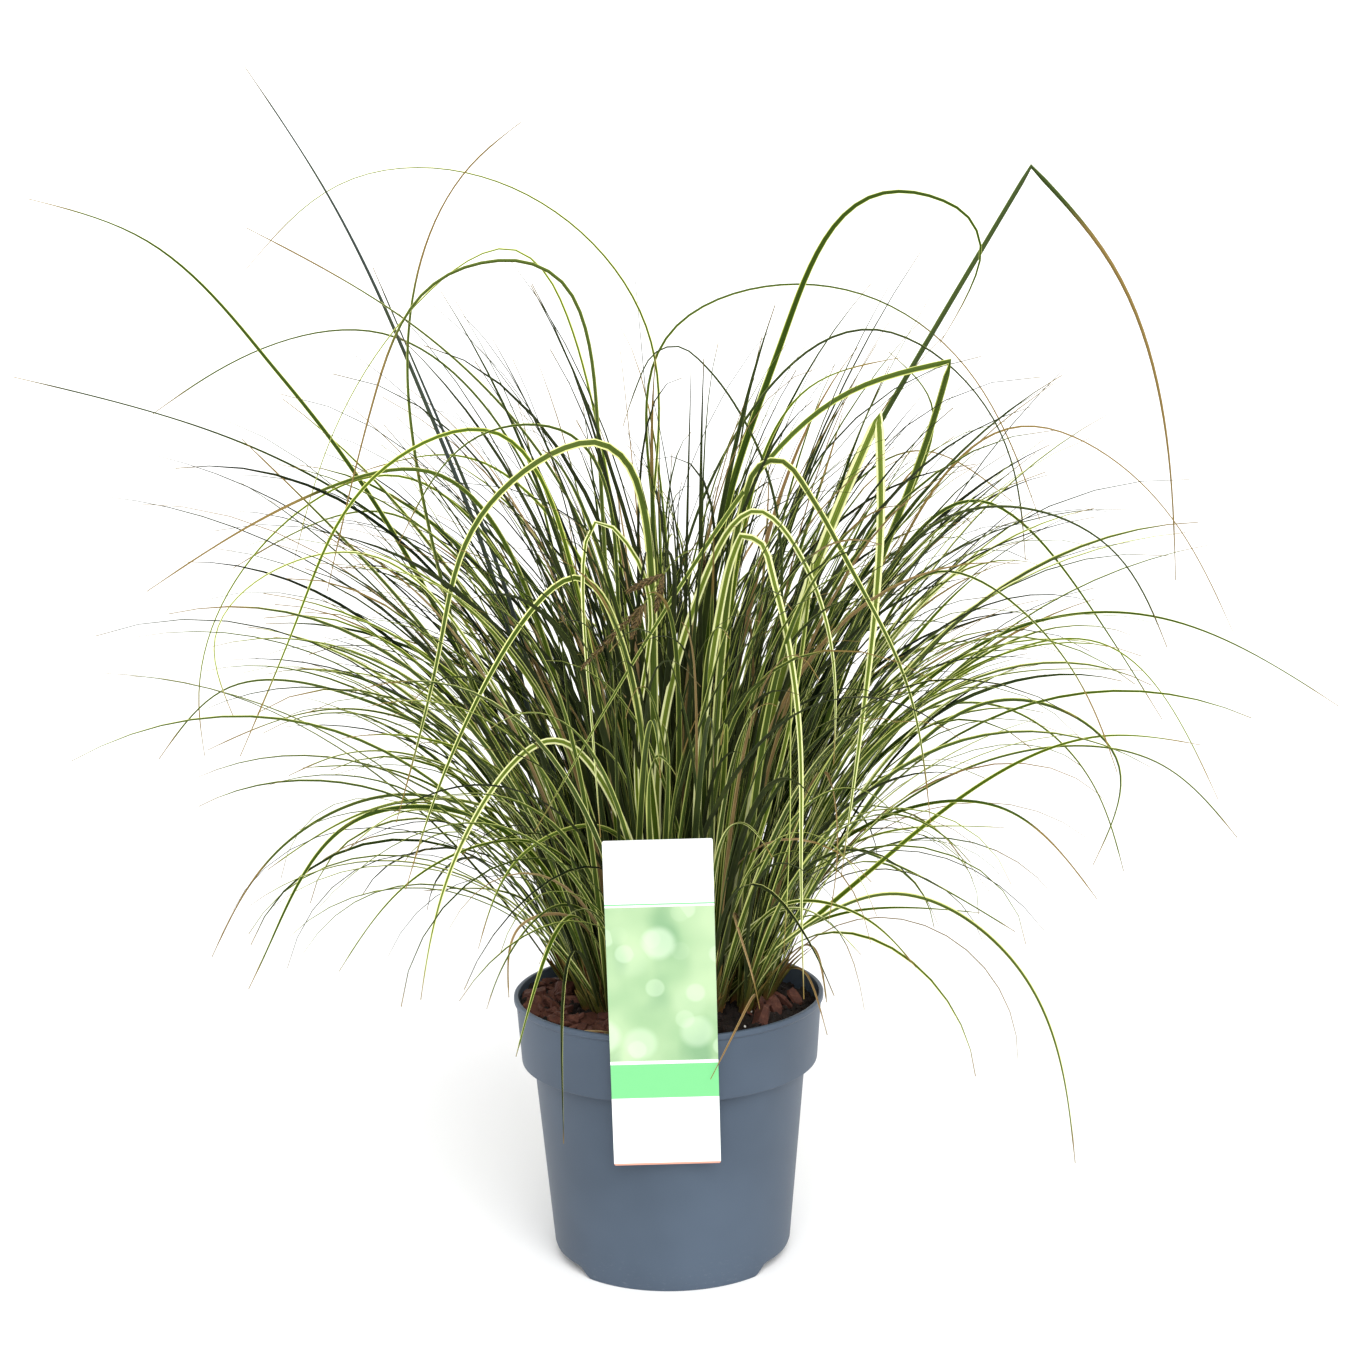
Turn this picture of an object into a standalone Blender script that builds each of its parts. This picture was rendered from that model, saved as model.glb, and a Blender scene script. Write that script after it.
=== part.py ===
"""A variegated sedge growing in its nursery pot, with the plant label hooked on the rim.

Metres, +Z up. The origin is the middle of the pot's base, on the surface that the pot
stands on, and -Y faces the viewer. The clump is a set of leafy tufts. Each tuft is one
solid: a short crown of leaf bases that stands in a plain hole in the soil, and the keeled
leaves that rise out of it and arch over. Every leaf follows a smooth line, either through
a few hand-placed points or by a seeded rule, and leaves of different tufts keep clear of
each other.
"""

import math

import bmesh
import bpy
import numpy as np

GAP = 0.0003
WELD = 0.000002
SEED = 41

# Pot: a 19 cm nursery pot with a deep rim band and a scalloped foot
POT_HEIGHT = 0.165
LIP_RADIUS = 0.095
LIP_DEPTH = 0.0032
LIP_SLOPE = 0.0010
LIP_CHAMFER = 0.0009
RIM_DROP = 0.0006
BAND_TOP_RADIUS = 0.0936
BAND_FOOT_RADIUS = 0.0909
BAND_FOOT_HEIGHT = 0.1235
BAND_CHAMFER = 0.0004
BAND_CHAMFER_RISE = 0.0005
BODY_TOP_RADIUS = 0.0836
BODY_FOOT_RADIUS = 0.0725
WALL = 0.0013
FLOOR_UNDERSIDE = 0.0066
FLOOR_THICKNESS = 0.0016
FOOT_WIDTH = 0.0026
RIB_WIDTH = 0.0024
NOTCH_HEIGHT = 0.0060
NOTCH_HALF_ANGLE = math.radians(38)
NOTCH_BLEND = math.radians(9)
POT_SIDES = 36
DRAIN_HOLES = 5
DRAIN_RADIUS = 0.0050
DRAIN_CIRCLE = 0.046
DRAIN_SIDES = 7
CUTTER_MARGIN = 0.002
POT_COLOUR = (0.16, 0.20, 0.26)

# Soil, with bark chips pressed into it
SOIL_TOP = 0.1565
SOIL_FALL = 0.0045
SOIL_RINGS = (0.0700, 0.0790, 0.0865)
MOUND_ANGLE = math.radians(175)
MOUND_RISE = 0.0085
MOUND_SPREAD = 0.75
RIPPLES = (0.0012, 0.0009)
CHIP_COUNT = 13
CHIP_CIRCLES = (0.0755, 0.0815)
CHIP_LEAST = (0.009, 0.005, 0.0026)
CHIP_MOST = (0.014, 0.008, 0.0040)
CHIP_TOP_SHARE = 0.72
CHIP_RISE = 0.0002
SOIL_COLOUR = (0.035, 0.022, 0.015)

# Crown: the patch of soil that the tufts grow from
CROWN_CENTRE = (0.003, 0.016)
CROWN_HALF_WIDTH = 0.064
CROWN_HALF_DEPTH = 0.052
TUFT_COUNT = 46
FLOWER_ROOT = (0.0, -0.018)
CENTRE_LEAN = 3.0
EDGE_LEAN = 20.0
TUFT_RADIUS = 0.0050
TUFT_TOP_RADIUS = 0.0058
TUFT_RISE = 0.0057
TUFT_SIDES = 5
TUFT_RETRIES = 8
RETRY_RISE = 0.0006
HOLE_DEPTH = 0.014

# Leaves
LEAVES_PER_TUFT = 8
LINE_STEPS = 32
WRAP_SHARE = 0.25
WRAP_AMOUNT = 0.8
STRAIGHT_SHARE = 0.2
LEAF_KEEL = 0.00072
LEAST_HALF_WIDTH = 0.0005
SHEATH_WIDTH_SHARE = 0.58
FULL_WIDTH_AT = 0.2
LEAF_CLEARANCE = 0.0004
ROOT_CIRCLE = 0.0034
ROOT_RISE = 0.0015
SHARED_BASE = 0.030
TURN_PER_SPAN = math.radians(41)
FOLD_TURN = math.radians(24)
LEAST_COSINE = 0.3
LOWEST_LEAF = 0.020
NEAR_ROOT = 0.012
SOIL_ROOM = 0.010
RIM_ROOM = 0.004
CARD_ROOM = 0.003
NEAREST_MARGIN = 0.006
CROWDING_COST = 0.006
LONG_TRIES = 120
ARCH_TRIES = 100
NUDGE_STEP = 0.0006
MOST_NUDGE = 0.022
LEAF_COLOUR = (0.16, 0.26, 0.07)

# Leaves that follow the seeded rule: least and most of each size
ARCH_SPREAD = (5, 14)
ARCH_LENGTH = (0.30, 0.50)
ARCH_BEND = (24, 76)
ARCH_POWER = (1.3, 2.4)
ARCH_WIDTH = (0.0024, 0.0038)
EDGE_SHORTER = 0.12
EDGE_BEND = 24
DRY_SHARE = 0.03
MOST_TWIST = 70

# Flower stem
STEM_CROWN_RADIUS = 0.0030
STEM_RADIUS = 0.0011
STEM_STEPS = 20
SPIKELET_RADIUS = 0.0024
FIRST_SPIKELET = 0.68
STEM_ROOM = 0.0016
SPIKELET_ROOM = 0.0070
END_SPIKELET_START = 0.92
END_SPIKELET_RADIUS = 0.0019
END_SPIKELET_REACH = 0.3
SPIKELET_SHAPE = ((0.0, 0.35), (0.35, 1.0), (0.75, 0.72), (1.0, 0.12))
FLOWER_COLOUR = (0.30, 0.20, 0.08)

# Label card, hooked over the rim
LABEL_WIDTH = 0.0625
LABEL_BELOW_RIM = 0.0765
LABEL_ABOVE_RIM = 0.1250
LABEL_THICKNESS = 0.0007
LABEL_SHIFT = -0.0026
LABEL_TILT = math.radians(0.7)
HOOK_WIDTH = 0.022
HOOK_THICKNESS = 0.0012
HOOK_DROP = 0.0065
HOOK_WALL_CLEARANCE = 0.0011
LABEL_COLOUR = (0.85, 0.90, 0.84)

# Long leaves that stand out of the clump. Each has its width in millimetres, the index of
# the point where it is folded (0 for none), and points in centimetres up to its tip.
LONG_LEAVES = (
    # Left side, tall
    (4.2, 3, ((-12.5, 4.5, 36.5), (-20.5, 6, 50.5), (-24, 6.5, 55), (-31.5, 7.5, 62.5), (-38.5, 8, 65))),
    (3.6, 0, ((-13, -2.5, 38), (-18.5, -3, 45), (-24, -4, 51))),
    (3.6, 0, ((-10.5, 3, 42.5), (-14, 4, 52), (-19.5, 5, 64.5), (-24.5, 6, 72.5))),
    (3.4, 0, ((-10, 4.5, 42), (-13.5, 6, 51), (-17.5, 8, 60.5))),
    (2.8, 0, ((-11.5, 2.5, 34.5), (-14.5, 3.5, 47), (-15, 4, 57), (-11, 4.5, 66.5), (-8, 5, 69))),
    (3.8, 0, ((-7, -3, 39), (-13.5, -4, 49), (-19.5, -5, 48), (-29.5, -6, 42.5))),
    (3.6, 0, ((-6, 3, 44.5), (-11.5, 4, 49), (-19, 5, 48))),
    (3.0, 0, ((-2.5, -5.5, 41.5), (-5.5, -7.5, 51.5), (-9.5, -8.5, 51.5), (-14.5, -10, 45.5))),
    (3.2, 0, ((-3.5, -4, 51), (-6.5, -4.5, 60.5), (-12, -5.5, 60), (-16, -6, 53.5), (-19, -7, 42.5))),
    (2.6, 0, ((-4, 1.5, 52.5), (-8.5, 2, 61.5), (-16, 2.5, 56.5), (-22.5, 3, 42.5))),
    (3.6, 0, ((-5, -6, 43), (-9.5, -7.5, 51.5), (-16, -9, 49), (-20, -10.5, 42), (-23.5, -12, 34))),
    (2.4, 0, ((-8.5, 3, 40.5), (-16, 4, 48), (-24.5, 5, 43.5), (-29, 5.5, 34), (-29, 6, 30.5))),
    (2.6, 0, ((-9, 4.5, 37.5), (-17, 6.5, 45.5), (-27, 8, 42))),
    (2.4, 0, ((-11, -4.5, 38.5), (-17.5, -5.5, 44.5), (-25.5, -7, 40), (-24.5, -8, 35.5))),
    (2.6, 0, ((-5, 2, 45.5), (-14.5, 3, 57), (-24.5, 4, 63))),
    (2.4, 0, ((-0.5, 4.5, 46), (-0.5, 5.5, 56), (-9.5, 7, 65.5), (-19.5, 8, 65.5), (-25.5, 9, 60.5))),
    (2.2, 0, ((-7.5, 5.5, 46.5), (-17, 7.5, 56.5), (-26, 9, 55), (-32, 10, 51.5))),
    (2.2, 0, ((-10, 4.5, 38), (-26.5, 7, 50.5), (-39.5, 9, 54))),
    # Left side, low
    (2.8, 0, ((-9.5, -2.5, 30), (-17.5, -3.5, 35.5), (-25.5, -4.5, 36.5), (-29.5, -5, 32.5))),
    (2.4, 0, ((-11.5, 5.5, 30), (-20, 7.5, 33), (-29.5, 10, 30))),
    (2.8, 0, ((-9.5, 2.5, 30), (-16, 4, 35), (-23, 5, 36))),
    (2.6, 0, ((-10.5, -5, 30.5), (-18.5, -7, 33), (-21.5, -8, 32))),
    (2.6, 0, ((-10, 2, 26), (-17.5, 3.5, 30), (-22.5, 4, 30))),
    (3.0, 0, ((-10, 2, 26.5), (-18, 2.5, 28.5), (-25, 3.5, 24.5), (-28.5, 4, 17))),
    (4.0, 0, ((-10.5, -5, 28.5), (-18, -7, 29), (-23, -9.5, 22), (-24, -10, 20))),
    (3.0, 0, ((-11.5, 5.5, 27), (-17, 7, 27), (-26, 10, 22))),
    (2.8, 0, ((-10.5, -2.5, 26.5), (-16, -3.5, 28.5), (-18.5, -4, 27))),
    (3.0, 0, ((-8.5, -6, 27.5), (-14.5, -9, 26), (-18.5, -12, 21.5))),
    (2.4, 0, ((-9, 0, 22.5), (-15, 0, 23))),
    # Front, hanging on the left
    (3.6, 0, ((-3, -7, 30), (-6, -9, 34), (-11.5, -12.5, 28.5), (-13.5, -16, 21))),
    (3.6, 0, ((-1.5, -8, 36), (-4.5, -10.5, 43.5), (-10.5, -13.5, 36.5), (-14, -17, 27.5))),
    (4.4, 0, ((-0.5, -7.5, 39), (-3.5, -10.5, 51), (-9.5, -12, 47.5), (-12, -13.5, 40.5), (-14.5, -16, 31))),
    (4.0, 0, ((-5, -7, 28.5), (-8, -9, 27.5), (-10.5, -13, 23))),
    (3.4, 0, ((-6.5, -6, 22.5), (-9, -9, 20.5), (-11, -12, 18.5))),
    (3.4, 0, ((-5.5, -6.5, 23), (-8.5, -14, 17))),
    (3.0, 0, ((-1.4, -7, 35), (-1.4, -9, 44.5), (-3, -10, 46.5), (-4, -12, 37), (-3.5, -14, 29.5))),
    # Right side, tall
    (4.2, 0, ((4, 2, 46), (7.5, 2.5, 56), (14, 3.5, 64.5), (19, 3.5, 62.5), (17, 4, 55.5))),
    (3.6, 0, ((5, -2, 45.5), (9, -2.5, 53.5), (14, -3, 55))),
    (4.4, 0, ((10, 2.5, 34), (15, 4, 46), (16.5, 4.5, 52), (14, 5, 55))),
    (4.0, 0, ((9, -1, 40.5), (11.5, -1.5, 50), (13.5, -1.5, 54.5))),
    (4.6, 3, ((13, 1, 42), (16, -1, 50), (17, -3, 54.5), (11, -6, 53), (3, -10, 46), (-7, -15, 30))),
    (4.8, 2, ((9, -5.5, 43.5), (12.5, -6.5, 52), (12.5, -7.5, 46), (11.5, -8.5, 36), (10, -10, 26))),
    (4.6, 3, ((7, 4, 36), (16.5, 6.5, 55.5), (23, 8, 66), (28, 8, 60), (31.5, 7, 48.5), (32, 6.5, 40.5))),
    (2.6, 0, ((7, -3.5, 41), (5, -4.5, 51.5), (0.5, -5.5, 56), (-2, -6, 51.5))),
    (2.2, 0, ((-0.5, 5, 46), (0.5, 6, 56), (10, 7.5, 59), (18.5, 8.5, 54.5), (24, 10, 44))),
    (2.2, 0, ((4, 1, 49.5), (12.5, 1.5, 56.5), (20, 1.5, 51), (22, 2, 42.5))),
    (2.4, 0, ((8.5, 7.5, 42), (16.5, 10.5, 48.5), (22.5, 12, 45))),
    (2.6, 0, ((11, -2.5, 38.5), (17.5, -3, 46), (26, -3.5, 44), (29.5, -4, 38))),
    (3.4, 0, ((11.5, 3, 37.5), (19, 3.5, 46), (26.5, 4.5, 39), (31, 5, 32))),
    (2.8, 0, ((11, -4.5, 35), (16, -6, 43), (23, -7, 38), (26, -8, 31.5))),
    (2.4, 0, ((12, 3, 37.5), (22.5, 4.5, 50.5), (29, 5, 47.5), (35.5, 6, 37.5))),
    # Right side, low
    (3.2, 0, ((12.5, 1.5, 31.5), (22, 2, 38.5), (29, 2.5, 39), (41.5, 3, 33))),
    (3.6, 0, ((12.5, -2, 25.5), (20, -3, 31), (25.5, -3.5, 33.5), (32.5, -4, 32))),
    (2.8, 0, ((12, 3.5, 24.5), (21.5, 6, 25))),
    (3.2, 0, ((12.5, -1.5, 26), (19.5, -2.5, 28.5), (25, -3, 23.5))),
    (3.6, 0, ((12, -3, 28.5), (21, -4, 35), (26.5, -5, 31.5), (25, -6, 25.5))),
    (2.2, 0, ((12.5, 4, 25.5), (22, 5.5, 30), (31.5, 7, 28.5), (36.5, 8, 23.5))),
    (2.2, 0, ((12.5, 6.5, 30.5), (20.5, 8.5, 32.5), (27.5, 10.5, 27), (30, 12, 20.5))),
    (3.0, 0, ((13, 6, 31), (21.5, 8, 35), (30, 10, 35))),
    (2.2, 0, ((14.5, 1, 33), (26.5, 1.5, 37.5), (34, 2, 27.5))),
    (3.2, 0, ((9, -4, 22), (13.5, -4.5, 23.5), (20, -6.5, 20), (24, -9, 8.5))),
    (2.4, 0, ((9.5, 1, 25), (14, 1.5, 24), (21.5, 2, 19))),
    (2.8, 0, ((10.5, -1, 21.5), (18.5, -2.5, 21.5))),
    # Front, hanging on the right
    (3.8, 0, ((3.5, -8, 39.5), (6.5, -10.5, 50), (10.5, -12.5, 44), (13.5, -14, 37.5), (14.5, -16, 30.5))),
    (4.0, 0, ((2, -8.5, 42), (5.5, -10, 47), (8, -11, 44), (9.5, -14, 33.5))),
    (3.8, 0, ((3, -8.5, 39.5), (5, -10, 46), (7, -12, 40), (7.5, -15, 28.5), (7.5, -17, 21))),
    (3.0, 2, ((7.5, -8, 36), (8.5, -9.5, 44), (7.5, -11, 40), (7, -13, 31), (6.5, -15, 23))),
    (3.2, 0, ((8, -7.5, 24), (11.5, -10, 23.5), (14, -13, 21.5))),
    (2.8, 0, ((8.5, -8.5, 23.5), (11, -12, 22))),
    # Dry leaves
    (3.0, 0, ((-6.5, -4.5, 23), (-8.5, -7.5, 22.5), (-9.5, -9.5, 19))),
    (2.6, 0, ((8, -4.5, 20.5), (9.2, -9, 18.5))),
    (2.8, 0, ((9, -7, 30), (10.5, -9, 27.5), (9, -11, 24))),
)
DRY_LONG_LEAVES = 3

# Flower stem: points in centimetres, then each spikelet's place along it, length and lean
FLOWER_LINE = (
    (0.3, -5, 34.3),
    (1.8, -7.2, 40.5),
    (2.7, -9, 44.6),
    (1.6, -10.2, 44.9),
    (-0.8, -11.8, 42.3),
    (-2.4, -12.4, 40.6),
    (-3.7, -13, 39.5),
)
SPIKELETS = (
    (0.70, 0.017, (-0.35, -0.30, 0.35)),
    (0.83, 0.021, (0.30, -0.30, -0.25)),
    (0.86, 0.022, (-0.15, 0.30, 0.45)),
    (0.90, 0.020, (0.25, -0.30, -0.30)),
)


def material(name, colour, roughness):
    """A plain Principled material."""
    made = bpy.data.materials.new(name)
    made.use_nodes = True
    surface = made.node_tree.nodes["Principled BSDF"]
    surface.inputs["Base Color"].default_value = (*colour, 1.0)
    surface.inputs["Roughness"].default_value = roughness
    made.diffuse_color = (*colour, 1.0)
    return made


def add_object(name, points, faces, finish=None, collection=None):
    """A mesh object from points and faces, with its triangles turned outwards."""
    mesh = bpy.data.meshes.new(name)
    mesh.from_pydata([tuple(map(float, point)) for point in points], [], faces)
    work = bmesh.new()
    work.from_mesh(mesh)
    bmesh.ops.recalc_face_normals(work, faces=work.faces)
    work.to_mesh(mesh)
    work.free()
    if finish:
        mesh.materials.append(finish)
    made = bpy.data.objects.new(name, mesh)
    (collection or bpy.context.scene.collection).objects.link(made)
    return made


def cut_to_triangles(mesh):
    """Splits a mesh's faces so that every edge keeps exactly two, and says if that worked."""
    for way in ("BEAUTY", "EAR_CLIP"):
        work = bmesh.new()
        work.from_mesh(mesh)
        bmesh.ops.remove_doubles(work, verts=work.verts, dist=WELD)
        bmesh.ops.triangulate(work, faces=work.faces, ngon_method=way)
        closed = all(len(edge.link_faces) == 2 for edge in work.edges)
        if closed:
            work.to_mesh(mesh)
        work.free()
        if closed:
            return True
    return False


def apply_union(target, parts, operation="UNION"):
    """Joins or cuts target with a collection of parts by one Boolean, then removes the parts.

    The manifold solver goes first. Where its result doesn't close, the exact solver does it.
    Returns whether the result is closed.
    """
    modifier = target.modifiers.new("join", "BOOLEAN")
    modifier.operation = operation
    modifier.operand_type = "COLLECTION"
    modifier.collection = parts
    for solver in ("MANIFOLD", "EXACT"):
        modifier.solver = solver
        bpy.context.view_layer.update()
        evaluated = target.evaluated_get(bpy.context.evaluated_depsgraph_get())
        joined = bpy.data.meshes.new_from_object(evaluated)
        closed = cut_to_triangles(joined)
        if closed:
            break
    target.modifiers.clear()
    target.data = joined
    for part in list(parts.objects):
        bpy.data.objects.remove(part)
    bpy.data.collections.remove(parts)
    keep_largest_body(target)
    return closed


def keep_largest_body(target):
    """Drops loose scraps and sealed hollows, which are bodies of their own in the mesh."""
    work = bmesh.new()
    work.from_mesh(target.data)
    unseen = set(work.faces)
    bodies = []
    while unseen:
        front = [unseen.pop()]
        body = list(front)
        while front:
            face = front.pop()
            for edge in face.edges:
                for other in edge.link_faces:
                    if other in unseen:
                        unseen.remove(other)
                        front.append(other)
                        body.append(other)
        bodies.append(body)
    bodies.sort(key=len)
    for body in bodies[:-1]:
        bmesh.ops.delete(work, geom=body, context="FACES")
    loose = [vert for vert in work.verts if not vert.link_faces]
    bmesh.ops.delete(work, geom=loose, context="VERTS")
    work.to_mesh(target.data)
    work.free()


def new_collection(name):
    """A collection for parts that a Boolean will join or cut."""
    made = bpy.data.collections.new(name)
    bpy.context.scene.collection.children.link(made)
    return made


def ring(radius, height, sides, turn=0.0, centre=(0.0, 0.0)):
    """Points of a level ring."""
    angle = turn + np.arange(sides) * 2 * math.pi / sides
    x = centre[0] + radius * np.cos(angle)
    y = centre[1] + radius * np.sin(angle)
    return np.stack([x, y, np.full(sides, height)], axis=1)


def loft(rings, closed=False):
    """Points and quads through rings of equal count; open ends are capped unless closed."""
    count = len(rings[0])
    points = np.concatenate(rings)
    faces = []
    spans = len(rings) if closed else len(rings) - 1
    for row in range(spans):
        upper = ((row + 1) % len(rings)) * count
        lower = row * count
        for i in range(count):
            j = (i + 1) % count
            faces.append((lower + i, lower + j, upper + j, upper + i))
    if not closed:
        faces.append(tuple(range(count)))
        faces.append(tuple(range(len(points) - count, len(points))))
    return points, faces


def smooth_step(value):
    """0 below 0, 1 above 1, and an S curve between."""
    value = np.clip(value, 0.0, 1.0)
    return value * value * (3.0 - 2.0 * value)


def foot_height(angle):
    """Height of the pot's lower edge: two wide feet, front and back, and a notch on each side."""
    from_side = np.abs((angle + math.pi / 2) % math.pi - math.pi / 2)
    return NOTCH_HEIGHT * (1.0 - smooth_step((from_side - NOTCH_HALF_ANGLE) / NOTCH_BLEND))


def body_radius(height):
    """Outer radius of the pot's tapering body."""
    return BODY_FOOT_RADIUS + (BODY_TOP_RADIUS - BODY_FOOT_RADIUS) * height / BAND_FOOT_HEIGHT


def inner_radius(height):
    """Inner radius of the pot at a height, body or band."""
    if height < BAND_FOOT_HEIGHT + WALL:
        return body_radius(height) - WALL
    share = (height - BAND_FOOT_HEIGHT) / (POT_HEIGHT - BAND_FOOT_HEIGHT)
    return BAND_FOOT_RADIUS + (BAND_TOP_RADIUS - BAND_FOOT_RADIUS) * share - WALL


def build_pot():
    """The pot: a thin turned shell with a lip, a rim band, a raised floor and a scalloped foot."""
    floor_top = FLOOR_UNDERSIDE + FLOOR_THICKNESS
    profile = (
        (BODY_FOOT_RADIUS, 0.0),
        (BODY_TOP_RADIUS, BAND_FOOT_HEIGHT),
        (BAND_FOOT_RADIUS - BAND_CHAMFER, BAND_FOOT_HEIGHT),
        (BAND_FOOT_RADIUS, BAND_FOOT_HEIGHT + BAND_CHAMFER_RISE),
        (BAND_TOP_RADIUS, POT_HEIGHT - LIP_DEPTH - LIP_SLOPE),
        (LIP_RADIUS, POT_HEIGHT - LIP_DEPTH),
        (LIP_RADIUS, POT_HEIGHT - LIP_SLOPE),
        (LIP_RADIUS - LIP_CHAMFER, POT_HEIGHT),
        (BAND_TOP_RADIUS - WALL, POT_HEIGHT - RIM_DROP),
        (BAND_FOOT_RADIUS - WALL, BAND_FOOT_HEIGHT + WALL),
        (BODY_TOP_RADIUS - WALL, BAND_FOOT_HEIGHT + WALL),
        (body_radius(floor_top) - WALL, floor_top),
    )
    floor_edge = BODY_FOOT_RADIUS - FOOT_WIDTH
    underside = ((floor_edge, FLOOR_UNDERSIDE), (floor_edge, 0.0))
    rings = [ring(radius, height, POT_SIDES) for radius, height in profile]
    lower = [ring(radius, height, POT_SIDES) for radius, height in underside]
    angle = np.arange(POT_SIDES) * 2 * math.pi / POT_SIDES
    for edge in (rings[0], lower[-1]):
        edge[:, 2] = foot_height(angle)
    pot = add_object("pot", *loft(lower + rings), material("pot plastic", POT_COLOUR, 0.45))
    add_foot_rib(pot)
    cut_drain_holes(pot)
    pot.data.shade_smooth()
    pot.data.set_sharp_from_angle(angle=math.radians(30))
    return pot


def add_foot_rib(pot):
    """A straight rib under the floor that joins the front foot to the back foot."""
    half = RIB_WIDTH / 2
    end = BODY_FOOT_RADIUS - FOOT_WIDTH / 2
    corners = np.array([(-half, -end), (half, -end), (half, end), (-half, end)])
    low = np.column_stack([corners, np.zeros(4)])
    high = np.column_stack([corners, np.full(4, FLOOR_UNDERSIDE + FLOOR_THICKNESS / 2)])
    parts = new_collection("foot rib")
    add_object("rib", *loft([low, high]), collection=parts)
    apply_union(pot, parts)


def cut_drain_holes(pot):
    """Round drain holes through the raised floor."""
    cutters = new_collection("drain cutters")
    for i in range(DRAIN_HOLES):
        angle = (i + 0.5) * 2 * math.pi / DRAIN_HOLES
        centre = (DRAIN_CIRCLE * math.cos(angle), DRAIN_CIRCLE * math.sin(angle))
        low = ring(DRAIN_RADIUS, FLOOR_UNDERSIDE - CUTTER_MARGIN, DRAIN_SIDES, angle, centre)
        above = FLOOR_UNDERSIDE + FLOOR_THICKNESS + CUTTER_MARGIN
        high = ring(DRAIN_RADIUS, above, DRAIN_SIDES, angle, centre)
        add_object("drain cutter", *loft([low, high]), collection=cutters)
    apply_union(pot, cutters, "DIFFERENCE")


def soil_height(x, y):
    """Height of the soil: level at the crown, falling to the wall, with a mound on the left."""
    radius = np.hypot(x, y)
    angle = np.arctan2(y, x)
    outward = smooth_step((radius - SOIL_RINGS[0]) / (LIP_RADIUS - SOIL_RINGS[0]))
    ripple = RIPPLES[0] * np.sin(7 * angle + 0.6) + RIPPLES[1] * np.sin(13 * angle + 260 * radius)
    from_left = np.abs((angle % (2 * math.pi)) - MOUND_ANGLE)
    mound = MOUND_RISE * np.exp(-((from_left / MOUND_SPREAD) ** 2))
    return SOIL_TOP + outward * (mound + ripple - SOIL_FALL)


def bark_chips(parts):
    """Slips of bark, half pressed into the soil between the crown and the wall."""
    chance = np.random.default_rng(SEED + 1)
    for i in range(CHIP_COUNT):
        angle = MOUND_ANGLE + chance.uniform(-0.95, 0.95) if i % 4 else chance.uniform(3.6, 6.0)
        radius = chance.uniform(*CHIP_CIRCLES)
        length, width, depth = chance.uniform(CHIP_LEAST, CHIP_MOST)
        heading = chance.uniform(0, math.pi)
        along = np.array([math.cos(heading), math.sin(heading), chance.uniform(-0.25, 0.25)])
        along /= np.linalg.norm(along)
        across = np.cross([0.0, 0.0, 1.0], along)
        across /= np.linalg.norm(across)
        over = np.cross(along, across)
        x, y = radius * math.cos(angle), radius * math.sin(angle)
        centre = np.array([x, y, float(soil_height(x, y)) + CHIP_RISE])
        corners = []
        for level, share in ((-1, 1.0), (1, CHIP_TOP_SHARE)):
            for s, t in ((-1, -1), (1, -0.8), (0.85, 1), (-0.9, 0.7)):
                flat = along * s * length * share + across * t * width * share
                corners.append(centre + (flat + over * level * depth) / 2)
        add_object("chip", *loft([np.array(corners[:4]), np.array(corners[4:])]), collection=parts)


def build_soil(places):
    """Soil that fills the pot, with bark chips on top and a plain hole for each tuft."""
    slack = GAP * 1.3
    floor_top = FLOOR_UNDERSIDE + FLOOR_THICKNESS
    ledge = BAND_FOOT_HEIGHT + WALL
    rings = [
        ring(body_radius(floor_top) - WALL - slack, floor_top + slack, POT_SIDES),
        ring(BODY_TOP_RADIUS - WALL - slack, ledge + slack, POT_SIDES),
        ring(BAND_FOOT_RADIUS - WALL - slack, ledge + slack, POT_SIDES),
    ]
    wall_level = SOIL_TOP - SOIL_FALL
    for radius in (inner_radius(wall_level) - slack, *reversed(SOIL_RINGS)):
        level = ring(radius, SOIL_TOP, POT_SIDES)
        level[:, 2] = soil_height(level[:, 0], level[:, 1])
        rings.append(level)
    soil = add_object("soil", *loft(rings), material("soil", SOIL_COLOUR, 0.95))
    chips = new_collection("bark chips")
    bark_chips(chips)
    apply_union(soil, chips)
    cutters = new_collection("crown holes")
    for place in places:
        low = ring(TUFT_RADIUS + slack, SOIL_TOP - HOLE_DEPTH - GAP, TUFT_SIDES, 0.0, place)
        high = ring(TUFT_RADIUS + slack, SOIL_TOP + HOLE_DEPTH, TUFT_SIDES, 0.0, place)
        add_object("hole", *loft([low, high]), collection=cutters)
    apply_union(soil, cutters, "DIFFERENCE")
    return soil


def label_frame():
    """The middle of the label's back where it leans on the lip, and its across, up and inward."""
    run = BAND_FOOT_RADIUS - LIP_RADIUS
    rise = (POT_HEIGHT - LIP_DEPTH) - (BAND_FOOT_HEIGHT + BAND_CHAMFER_RISE)
    lean = math.atan2(-run, rise)
    up = np.array([0.0, -math.sin(lean), math.cos(lean)])
    inward = np.array([0.0, math.cos(lean), math.sin(lean)])
    touch = np.array([LABEL_SHIFT, -LIP_RADIUS, POT_HEIGHT - LIP_DEPTH])
    level = np.array([1.0, 0.0, 0.0])
    across = level * math.cos(LABEL_TILT) + up * math.sin(LABEL_TILT)
    up = up * math.cos(LABEL_TILT) - level * math.sin(LABEL_TILT)
    return touch - inward * GAP, across, up, inward


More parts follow.
